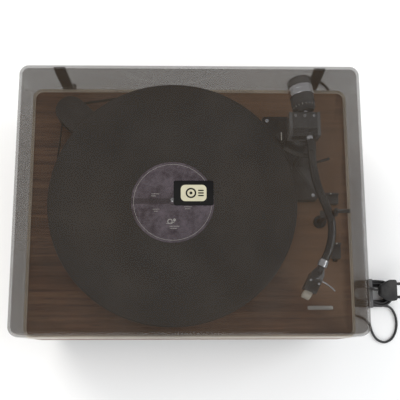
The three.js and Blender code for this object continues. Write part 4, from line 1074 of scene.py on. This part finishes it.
platter_profile = [
    (6.3, base), (17, base), (17, hub_top), (140.5, hub_top), (140.5, base + 0.4), (140.9, base),
    (147.1, base), (147.5, base + 0.4), (147.5, base + 10.2), (147.0, base + 10.7),
    (147.0, base + 11.6), (147.5, base + 12.1), (147.5, base + 14.7), (147.2, base + 15.5),
    (146.5, base + 16.5), (3.85, plate_top), (3.85, hub_top + 0.3), (6.3, hub_top - 1.7), (6.3, base),
]  # fmt: skip
lathe("platter", platter_profile, 192, spin, "cast_metal", turned_metal)

bottom, top = levels("slip_mat")
mat_profile = [(3.85, bottom), (145.5, bottom), (145.5, top - 0.3), (145.2, top)]
for i in range(15):
    r = 140 - 6 * i
    mat_profile += [(r + 2.2, top), (r + 1.9, top - 0.6), (r, top - 0.6), (r - 0.3, top)]
mat_profile += [(50, top), (3.85, top), (3.85, bottom)]
lathe("slip_mat", mat_profile, 144, spin, "rubber", rubber)
print("platter", base, "to", plate_top, "mat top", round(top, 2))

# %% [markdown]
# The grooves of a record are too fine to model, but the smooth gaps between its tracks are not.
# A small tree sinks every point of the turned disc by a rule of its distance from the spindle:
# full height inside a gap, a hair lower where there are grooves.

# %% The record, with its bands made by a rule
band_tree, given, out = geometry_tree(
    "bands of a record",
    [
        ("Axis", "Vector", (0, 0, 0)),
        ("First groove", "Float", 0.1),
        ("Last groove", "Float", 0.06),
        ("Tracks", "Int", 5),
        ("Gap share", "Float", 0.06),
        ("Depth", "Float", 0.0002),
    ],
)


def banding(operation, a, b=0.0):
    return calc(band_tree, operation, a, b)


def both(a, b):
    return banding("MULTIPLY", a, b)


spot = band_tree.nodes.new("GeometryNodeInputPosition").outputs[0]
away = parts(band_tree, vector(band_tree, "SUBTRACT", spot, given["Axis"]))
squared = banding("ADD", both(away["X"], away["X"]), both(away["Y"], away["Y"]))
distance = banding("POWER", squared, 0.5)
share = between(band_tree, distance, given["First groove"], given["Last groove"])
within = both(banding("GREATER_THAN", share, 0.001), banding("LESS_THAN", share, 0.999))
lane = banding("FRACT", both(share, given["Tracks"]))
edge_of_lane = banding("MINIMUM", lane, banding("SUBTRACT", 1.0, lane))
sunk = banding("GREATER_THAN", edge_of_lane, given["Gap share"])
on_top = banding("GREATER_THAN", away["Z"], 0.0)
drop = both(both(within, sunk), both(on_top, given["Depth"]))
sunken = put(
    band_tree,
    "GeometryNodeSetPosition",
    ("Geometry", given["Geometry"]),
    ("Offset", made_of(band_tree, Z=both(drop, -1.0))),
)
end_tree(band_tree, given, sunken, out)

top = record_top
record_profile = [
    (3.85, record_low), (150.2, record_low), (150.6, record_low + 0.3), (150.8, record_low + 0.75),
    (150.6, top - 0.3), (150.1, top), (148.2, top), (147.2, top - 0.1), (146.5, top - 0.2),
]  # fmt: skip
record_profile += [(146.5 - 0.85 * i, top - 0.2) for i in range(1, 104)]
record_profile += [
    (57.5, top - 0.22), (55, top - 0.18), (53, top), (50.6, top), (36, top), (35.6, top - 0.12),
    (35, top), (3.85, top), (3.85, record_low),
]  # fmt: skip
banded = grown(
    "vinyl_record",
    band_tree,
    turned("vinyl_record", record_profile, 180, spin),
    Axis=(SPINDLE.x, SPINDLE.y, (record_low + 0.75) * MM),
    First_groove=0.1455,
    Last_groove=0.0615,
    Tracks=5,
    Gap_share=0.035,
    Depth=0.00012,
    Material=vinyl,
)
record = placed("vinyl_record_grooved", painted(banded, 0), "vinyl_record", "vinyl", vinyl, sharp=60)
print("record of", len(record.data.polygons), "faces")

# %% [markdown]
# The label is a thin paper disc. Its print is simple: a thin ring, a few short dashes where the
# text of a real label would be, and one small made-up mark below the spindle.

# %% Label and its print
bottom, top = levels("record_label")
label_profile = [
    (3.85, bottom), (49.8, bottom), (50, bottom + 0.08), (49.8, top), (3.85, top), (3.85, bottom),
]  # fmt: skip
PRINT_Z, PRINT_HEIGHT = top - 0.04, 0.08


def flat_bar(x, y, width, depth, turn=0.0):
    """A thin printed bar, in millimetres from the spindle."""
    mesh = bpy.data.meshes.new("bar")
    bm = bmesh.new()
    bmesh.ops.create_cube(bm, size=1)
    bm.to_mesh(mesh)
    bm.free()
    lying = Matrix.Rotation(turn, 4, "Z") @ Matrix.Diagonal((width, depth, PRINT_HEIGHT, 1))
    return painted(mesh, 1, shifted(spin, x, y, PRINT_Z + PRINT_HEIGHT / 2) @ lying)


def band_profile(inner, outer, low_z, high_z):
    """The profile of a flat ring, closed on itself."""
    return [(inner, low_z), (outer, low_z), (outer, high_z), (inner, high_z), (inner, low_z)]


def flat_ring(x, y, inner, outer, sides=48):
    profile = band_profile(inner, outer, PRINT_Z, PRINT_Z + PRINT_HEIGHT)
    return painted(turned("ring", profile, sides, shifted(spin, x, y, 0)), 1)


dashes = [
    (-21, 10, 9, 0.7), (-23, 7.5, 6, 0.6), (18, -6, 9, 0.6), (18, -8.5, 6.5, 0.6), (-20, -9, 8, 0.6),
    (-20, -11.5, 5, 0.6), (-6, -26.5, 3.2, 0.7), (2, -30, 12, 0.6), (1, -32.5, 8, 0.6),
]  # fmt: skip
mark = [flat_bar(*dash) for dash in dashes]
mark += [
    flat_ring(-3.2, -24, 2.1, 3.1),
    flat_ring(2.2, -22.2, 0.3, 1.7),
    flat_bar(0.4, -25.6, 4.6, 0.8, turn=0.6),
    flat_ring(0, 0, 46.9, 47.3, sides=128),
]
lathe(
    "record_label", label_profile, 128, spin, "label_paper", label_paper, white_paint,
    extra=mark, name="label_printed",
)  # fmt: skip
print("label with", len(mark), "printed marks")

# %% [markdown]
# ## Motor, belt and pulley cover
# The belt runs from a cream pulley in the rear left corner to the platter's rim, under a small
# black cover. The pulley is crowned, which is what keeps a flat belt on it.

# %% Motor, pulley, belt and their cover
motor_frame = upright(middle("motor").x, middle("motor").y)
bottom, top = levels("motor")
can_top = top - 2.5
motor_profile = [
    (0, bottom), (18.6, bottom), (20, bottom + 1.4), (20, bottom + 9), (19.5, bottom + 9.5),
    (19.5, bottom + 10.5), (20, bottom + 11), (20, can_top - 0.8), (19.2, can_top), (6, can_top),
    (6, top - 0.3), (5.7, top), (2.5, top), (2.5, can_top - 8), (0, can_top - 8),
]  # fmt: skip
lathe("motor", motor_profile, 64, motor_frame, "cast_metal", cast_metal)
bottom, top = levels("motor_pulley")
belt = levels("drive_belt")[0]
pulley_profile = [
    (0, bottom), (2, bottom), (2, deck - 4), (7, deck - 4), (7, belt - 2), (9.6, belt - 1.9),
    (10, belt - 1.6), (9, belt - 0.6), (9.1, belt + 2.5), (9, belt + 5.6), (10, belt + 6.6),
    (9.6, belt + 6.9), (7.4, top), (2.4, top), (2.2, top - 0.6), (0, top - 0.6),
]  # fmt: skip
lathe("motor_pulley", pulley_profile, 56, motor_frame, "cream_plastic", cream)
softened("drive_belt", 0.15, "rubber", rubber, segments=1)
softened("pulley_cover", 1.4, "black_plastic", black_plastic, segments=4)
softened("control_board", 0.4, "circuit_board", circuit_green)
softened("transformer", 0.4, "cast_metal", copper)
print("drive dressed")

# %% [markdown]
# ## Arm base and bearing
# The tone arm stands on a black base plate with a round pedestal. A yoke swings on the pedestal,
# and the block between its cheeks carries the arm. Pedestal, yoke and block are gloss black, and
# plate and block have bright screws.

# %% Base, pedestal, yoke and block
plate_z = deck + 10.1
plate_places = [(97, 25, plate_z), (152, 17, plate_z), (97, 114, plate_z)]
plate_screws = screws(plate_places, 2.2, 1.0, mm_matrix())
softened("arm_base", 0.7, "black_plastic", black_plastic, segments=3, extra=[plate_screws], more=[chrome])

bottom, top = levels("arm_pedestal")
pedestal_profile = [
    (0, bottom), (16.6, bottom), (17, bottom + 0.4), (17, bottom + 2.4), (16.5, bottom + 2.9),
    (13.4, bottom + 4.6), (13, bottom + 5.2),
]  # fmt: skip
for i in range(5):
    z = bottom + 7 + 2.6 * i
    pedestal_profile += [(13, z), (12.5, z + 0.3), (12.5, z + 0.9), (13, z + 1.2)]
pedestal_profile += [(13, top - 0.5), (12.5, top), (4, top), (4, top - 8), (0, top - 8)]
lathe("arm_pedestal", pedestal_profile, 72, upright(PIVOT.x, PIVOT.y), "black_plastic", gloss_black)
softened("arm_yoke", 0.8, "black_gloss", gloss_black, segments=3)

pivot_frame = upright(*PIVOT)
block_z = (high("pivot_block").z - PIVOT.z) / MM - 0.1
block_screws = screws([(x, 5, block_z) for x in (-14, 8, -3)], 1.5, 0.7, pivot_frame)
softened("pivot_block", 1.1, "black_gloss", gloss_black, segments=4, extra=[block_screws], more=[chrome])
print("arm base dressed")

# %% [markdown]
# ## The S-shaped arm
# The tube is one smooth bend in a plane. A path through nine points carries a round section, so
# the bend has no corners and the tube keeps its thickness. Behind the pivot a threaded shaft
# carries the force dial and the counterweight.

# %% Tube and shaft
ARM_TURN = math.radians(8.6)
arm_frame = pivot_frame @ Matrix.Rotation(ARM_TURN, 4, "Z")
tube_path = [
    (0, -15, 0), (-0.6, -35, 0), (-2.4, -62, 0), (-0.8, -84, 0), (4.2, -107, 0),
    (6.6, -124, 0), (3.4, -143, 0), (-4.4, -160.6, 0), (-10, -168.6, 0),
]  # fmt: skip
tube = swept("arm_tube", smooth_path(tube_path, 14), 4.72, 32, arm_frame)
ferrule_line = [(-0.1, -19.6, 0), (-0.2, -21, 0), (-0.25, -23.4, 0)]
ferrule = painted(swept("ferrule", ferrule_line, 4.95, 40, arm_frame), 1)
tube = joined("arm_tube", tube, ferrule)
placed("arm_tube_swept", tube, "arm_tube", "black_gloss", gloss_black, chrome)

backward_arm = arm_frame @ backwards
shaft_end = 49.3
shaft_profile = [(0, 5), (3.4, 5)]
z = 10.0
while z < shaft_end - 1.3:
    shaft_profile += [(3.5, z), (3.15, z + 0.35)]
    z += 0.7
shaft_profile += [(3.4, shaft_end - 0.5), (3.0, shaft_end), (0, shaft_end)]

# %% Force dial, chrome band and counterweight
start, end = 12.4, 31.4
dial_profile = [
    (3.8, start), (10.9, start), (11.5, start + 0.5), (13.3, start + 2.7), (13.5, start + 3.4),
    (14, end - 0.4), (13.6, end), (3.8, end), (3.8, start),
]  # fmt: skip
dial_ribs = ring_of(54, 13.55, (0.8, 0.5, 9.5), shifted(backward_arm, 0, 0, start + 12.8))
dial_marks = ring_of(20, 13.42, (0.34, 0.35, 2.4), shifted(backward_arm, 0, 0, start + 5.2), index=2)
lathe(
    "force_dial", dial_profile, 96, backward_arm, "black_plastic", black_plastic, black_plastic,
    white_paint, extra=[dial_ribs, dial_marks],
)  # fmt: skip
chrome_profile = [
    (3.8, 31.7), (14.2, 31.7), (14.5, 32), (14.5, 36), (14.2, 36.3), (14.2, 37.9), (14.5, 38.2),
    (14.5, 42.4), (14.2, 42.7), (3.8, 42.7), (3.8, 31.7),
]  # fmt: skip
lathe("counterweight_band", chrome_profile, 96, backward_arm, "chrome", chrome)
weight_profile = [
    (3.8, 43), (14.2, 43), (14.5, 43.3), (14.5, 51.4), (14, 52.4), (13, 53.2), (12, 53.5), (8.5, 53.5),
    (8, 53), (7, 53), (6.5, 53.5), (3.8, 53.5), (3.8, 43),
]  # fmt: skip
lathe("counterweight", weight_profile, 96, backward_arm, "black_plastic", gloss_black)
lathe("weight_shaft", shaft_profile, 32, backward_arm, "chrome", chrome)
print("arm tube, dial and weights")

# %% [markdown]
# ## Headshell and cartridge
# A knurled collar locks the plug-in headshell to the tube. The flat shell carries the cartridge
# on two screws, with four thin coloured wires behind it, and the pale stylus holder in front.

# %% Headshell group
heading = math.atan2(tube_path[-1][0] - tube_path[-2][0], tube_path[-2][1] - tube_path[-1][1])
shell_frame = shifted(arm_frame, *tube_path[-1]) @ Matrix.Rotation(heading, 4, "Z")
forward_shell = shell_frame @ Matrix.Rotation(math.pi / 2, 4, "X")
collar_profile = [
    (3.1, 0.3), (5.5, 0.3), (5.9, 0.7), (5.9, 2), (5.6, 2.2), (5.6, 7), (5.9, 7.2), (5.9, 8.8),
    (5.6, 9), (3.1, 9), (3.1, 0.3),
]  # fmt: skip
knurl = ring_of(30, 5.62, (0.55, 0.5, 4.4), shifted(forward_shell, 0, 0, 4.6))
lathe("headshell_collar", collar_profile, 56, forward_shell, "chrome", chrome, chrome, extra=[knurl])

shell_screws = screws([(-5, -28.6, 4.4), (5, -28.6, 4.4)], 1.35, 0.5, shell_frame)
wire_red = finish("wire_red", (0.5, 0.03, 0.03), 0.5)
wire_blue = finish("wire_blue", (0.03, 0.08, 0.4), 0.5)
wire_green = finish("wire_green", (0.03, 0.3, 0.08), 0.5)
wires = []
for i, x in enumerate((-4.5, -1.5, 1.5, 4.5)):
    bend = smooth_path([(x, -12.2, -1.1), (x, -10.9, -4.2), (x, -11.6, -7.4), (x, -14.6, -8.3)], 5)
    wires.append(painted(swept("wire", bend, 0.4, 10, shell_frame), i + 2))
softened(
    "headshell", 0.5, "black_gloss", gloss_black, segments=3, extra=[shell_screws, *wires],
    more=[chrome, wire_red, wire_blue, wire_green, white_paint],
)  # fmt: skip

SHELL_EDGE = 8
lift_points = [(0, -23.6, 0.5), (5, -24.1, 0.7), (11, -25.6, 2), (17, -28.1, 4)]
lift_line = smooth_path([(SHELL_EDGE + x, y, z) for x, y, z in lift_points], 8)
finger = swept("finger_lift", lift_line, 0.9, 20, shell_frame)
placed("finger_lift_swept", finger, "finger_lift", "chrome", chrome, sharp=50)

softened("cartridge", 0.7, "black_plastic", black_plastic, segments=3)
softened("stylus", 0.5, "cream_plastic", cream, segments=3, angle=25)
print("headshell dressed")

# %% [markdown]
# ## Controls round the arm
# Anti-skating knob, cue lever with its padded lifting bar, arm rest with a swivelling clip, and
# the two sliders: knob and sliders get the ribs and marks that fingers and eyes use.

# %% Anti-skating knob and cue lever
knob_frame = upright(middle("antiskate_knob").x, middle("antiskate_knob").y)
k = levels("antiskate_knob")[0]
knob_profile = [
    (0, k), (7.2, k), (7.5, k + 0.3), (7.5, k + 2.6), (7.1, k + 3.1), (5.9, k + 3.8), (5.8, k + 9),
    (5.5, k + 9.7), (4.9, k + 10), (0, k + 10),
]  # fmt: skip
pointer_line = [(0, y, k + 10.4) for y in (-4.9, 0, 4.9)]
knob_parts = [
    ring_of(32, 5.75, (0.5, 0.5, 4.6), shifted(knob_frame, 0, 0, k + 6.4)),
    ring_of(8, 6.75, (0.7, 0.25, 0.3), shifted(knob_frame, 0, 0, k + 3.15), index=2),
    painted(swept("pointer", pointer_line, 0.62, 12, knob_frame), 2),
]
lathe(
    "antiskate_knob", knob_profile, 64, knob_frame, "black_plastic", black_plastic, black_plastic,
    white_paint, extra=knob_parts,
)  # fmt: skip

CUE = (151, 57, 96.2)
hub_profile = [(1.4, -4), (3.1, -4), (3.4, -3.7), (3.4, 3.7), (3.1, 4), (1.4, 4), (1.4, -4)]
hub = turned("cue_hub", hub_profile, 48, mm_matrix(*CUE, backwards))
handle_line = smooth_path([(2.6, 0, 0), (7, 0.6, 0.6), (14, 2.4, 1.4), (21, 4.4, 1.6)], 10)
handle = swept("cue_handle", handle_line, 1.35, 20, mm_matrix(*CUE), taper=1.25)
placed("cue_lever_swept", joined("cue_lever", hub, handle), "cue_lever", "black_plastic", gloss_black)
softened("lift_platform", 0.5, "rubber", rubber, segments=3)

# %% Arm rest and clip
softened("arm_rest", 0.5, "black_plastic", black_plastic, segments=3)
softened("arm_clip", 0.35, "black_plastic", gloss_black, segments=3)

# %% Sliders with ribbed caps
for node, count in (("speed_selector", 4), ("start_lever", 6)):
    a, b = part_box(node)
    x, y = (a.x + b.x) / 2, (a.y + b.y) / 2
    width = (b.x - a.x) / MM - 2.4
    ribs = row_of(count, 1.9, (width, 0.7, 0.7), upright(x, y - 1.2 * MM, b.z - 3 * MM))
    dot_profile = [(0, 0), (0.9, 0), (0.9, 0.12), (0, 0.12)]
    dot = painted(turned("dot", dot_profile, 24, upright(x, b.y - 1.2 * MM, b.z)), 2)
    softened(
        node, 0.6, "black_plastic", black_plastic, segments=3, extra=[ribs, dot],
        more=[black_plastic, white_paint],
    )  # fmt: skip
print("controls dressed")

# %% [markdown]
# ## Badges
# The plinth carries a small bright plate and the cover a film sticker. Both stay nameless: the
# plate is plain brushed metal, and the sticker has a ring, a dot and three bars.

# %% Plate and sticker
brushed = finish("brushed_plate", (0.62, 0.6, 0.56), 0.32, texture=0.0004, depth=0.00002, metal=1.0)
softened("deck_badge", 0.15, "chrome", brushed)

film = finish("black_film", (0.006, 0.006, 0.006), 0.38, texture=0.001, depth=0.00001, dusty=0.02)
set_inputs(film.node_tree.nodes["Principled BSDF"], Specular_IOR_Level=0.08)
film_print = finish("cream_print", (0.50, 0.47, 0.33), 0.5, dusty=0.02)
badge_frame = upright(middle("cover_badge").x, middle("cover_badge").y)
badge_top = levels("cover_badge")[1]
sign_top = badge_top + 0.07


def round_cornered(half_x, half_y, corner, steps):
    """The points of a rectangle with round corners, anticlockwise."""
    found = []
    for quarter, (sx, sy) in enumerate(((1, 1), (-1, 1), (-1, -1), (1, -1))):
        for i in range(steps + 1):
            a = (quarter + i / steps) * math.pi / 2
            x = sx * (half_x - corner) + corner * math.cos(a)
            found.append((x, sy * (half_y - corner) + corner * math.sin(a)))
    return found


def skin(name, rings_of_points):
    """A closed skin over rings of points, each ring with as many points as the next."""
    count = len(rings_of_points[0])
    faces = []
    for r in range(len(rings_of_points) - 1):
        for i in range(count):
            a, b = r * count + i, r * count + (i + 1) % count
            faces.append([a, b, b + count, a + count])
    last = (len(rings_of_points) - 1) * count
    faces += [list(range(count))[::-1], [last + i for i in range(count)]]
    return mesh_of(name, [p for ring in rings_of_points for p in ring], faces)


def slab(name, width, depth, corner, low_z, high_z, matrix, index=0):
    """A thin plate with round corners, standing between two levels."""
    outline = round_cornered(width / 2, depth / 2, corner, 6)
    mesh = skin(name, [[matrix @ Vector((x, y, z)) for x, y in outline] for z in (low_z, high_z)])
    return painted(mesh, index)


sticker = slab("sticker", 45, 29, 2.5, badge_top - 0.3, badge_top, badge_frame)
panel = slab("panel", 29, 19, 5, badge_top - 0.1, badge_top + 0.03, badge_frame, 1)
sign_frame = shifted(badge_frame, -3, 0, 0)
dot_profile = [(0, badge_top), (1.7, badge_top), (1.7, sign_top), (0, sign_top)]
sign = [
    painted(turned("sign_ring", band_profile(4.2, 6.0, badge_top, sign_top), 64, sign_frame), 2),
    painted(turned("sign_dot", dot_profile, 40, sign_frame), 2),
]
for y in (-3, 0, 3):
    bar_frame = shifted(badge_frame, 8.2, y, 0)
    sign.append(slab("sign_bar", 6.5, 1.5, 0.7, badge_top, sign_top, bar_frame, 2))
badge = joined("cover_badge", sticker, panel, *sign)
placed("cover_sticker", badge, "cover_badge", "badge", film, film_print, film)
print("badges made")

# %% [markdown]
# ## The cover
# A cover like this is one sheet, pressed over a mould, so its corners and upper edge are round
# and its wall is even. Rings of one outline, from inside the top, down to the rim and up again
# to the outside of the top, make the whole shell as a single closed skin.

# %% Cover shell
cover_low, cover_high = levels("dust_cover")
CORNER, EDGE_ROUND, WALL, RIM_HEIGHT = 12, 8, 3, 2.7


def edge_rings(wall_inset, corner, round_by, top, steps=9):
    """Insets, corners and levels round one edge of the sheet, from the wall to the top."""
    for i in range(steps + 1):
        a = i * math.pi / 2 / steps
        inset = round_by * (1 - math.cos(a))
        yield wall_inset + inset, max(corner - inset, 1), top - round_by + round_by * math.sin(a)


inner = list(edge_rings(WALL, CORNER - WALL, EDGE_ROUND - WALL, cover_high - WALL))
rim = [
    (WALL, CORNER - WALL, cover_low + 2.6), (WALL, CORNER - WALL, cover_low + 0.3),
    (WALL - 0.3, CORNER - WALL + 0.3, cover_low), (0.3, CORNER - 0.3, cover_low),
    (0, CORNER, cover_low + 0.3), (0, CORNER, cover_low + 2.6),
]  # fmt: skip
outlines = []
for inset, corner, z in [*inner[::-1], *rim, *edge_rings(0, CORNER, EDGE_ROUND, cover_high)]:
    outline = round_cornered(HALF_WIDTH / MM - inset, HALF_DEPTH / MM - inset, corner, 14)
    outlines.append([at(x, y, z) for x, y in outline])
cover = placed(
    "dust_cover_pressed", skin("dust_cover", outlines), "dust_cover", "smoked_clear", smoked, rim_painted_glow,
    sharp=50,
)  # fmt: skip
# The rim faces take the finish with the painted glow: its pale colour and emission stand in for light
# gathered in the cut edge.
for polygon in cover.data.polygons:
    if polygon.center.z < (cover_low + RIM_HEIGHT) * MM:
        polygon.material_index = 1
print("cover of", len(cover.data.polygons), "faces")

# %% [markdown]
# ## Hinges
# Each hinge is a forked base screwed to the plinth's back and a bar screwed to the cover.

# %% Hinges
HINGE_X = 156
behind_case = HALF_DEPTH / MM + 0.3
for side, x in (("left", -HINGE_X), ("right", HINGE_X)):
    fork, bar = f"hinge_base_{side}", f"hinge_arm_{side}"
    fork_frame = mm_matrix(x, behind_case + 3.2, levels(fork)[0] + 4.5, backwards)
    bar_frame = mm_matrix(x, behind_case + 3.7, levels(bar)[1] - 7, backwards)
    fork_screws = screws([(0, 0, 0), (0, -7.5, 0)], 2.0, 0.9, fork_frame)
    bar_screws = screws([(0, 0, 0), (0, 18, 0)], 2.4, 1.0, bar_frame)
    softened(fork, 0.4, "black_plastic", black_plastic, extra=[fork_screws], more=[chrome])
    softened(bar, 0.8, "black_plastic", gloss_black, segments=3, extra=[bar_screws], more=[chrome])
print("hinges dressed")

# %% [markdown]
# ## Last look
# Every frame piece now has a finer one in its place. The last line lists any frame piece that is
# still shown.

# %% Frame pieces still shown, then the end
print("frame pieces still shown:", [n for n, o in NODES.items() if not o.hide_render])
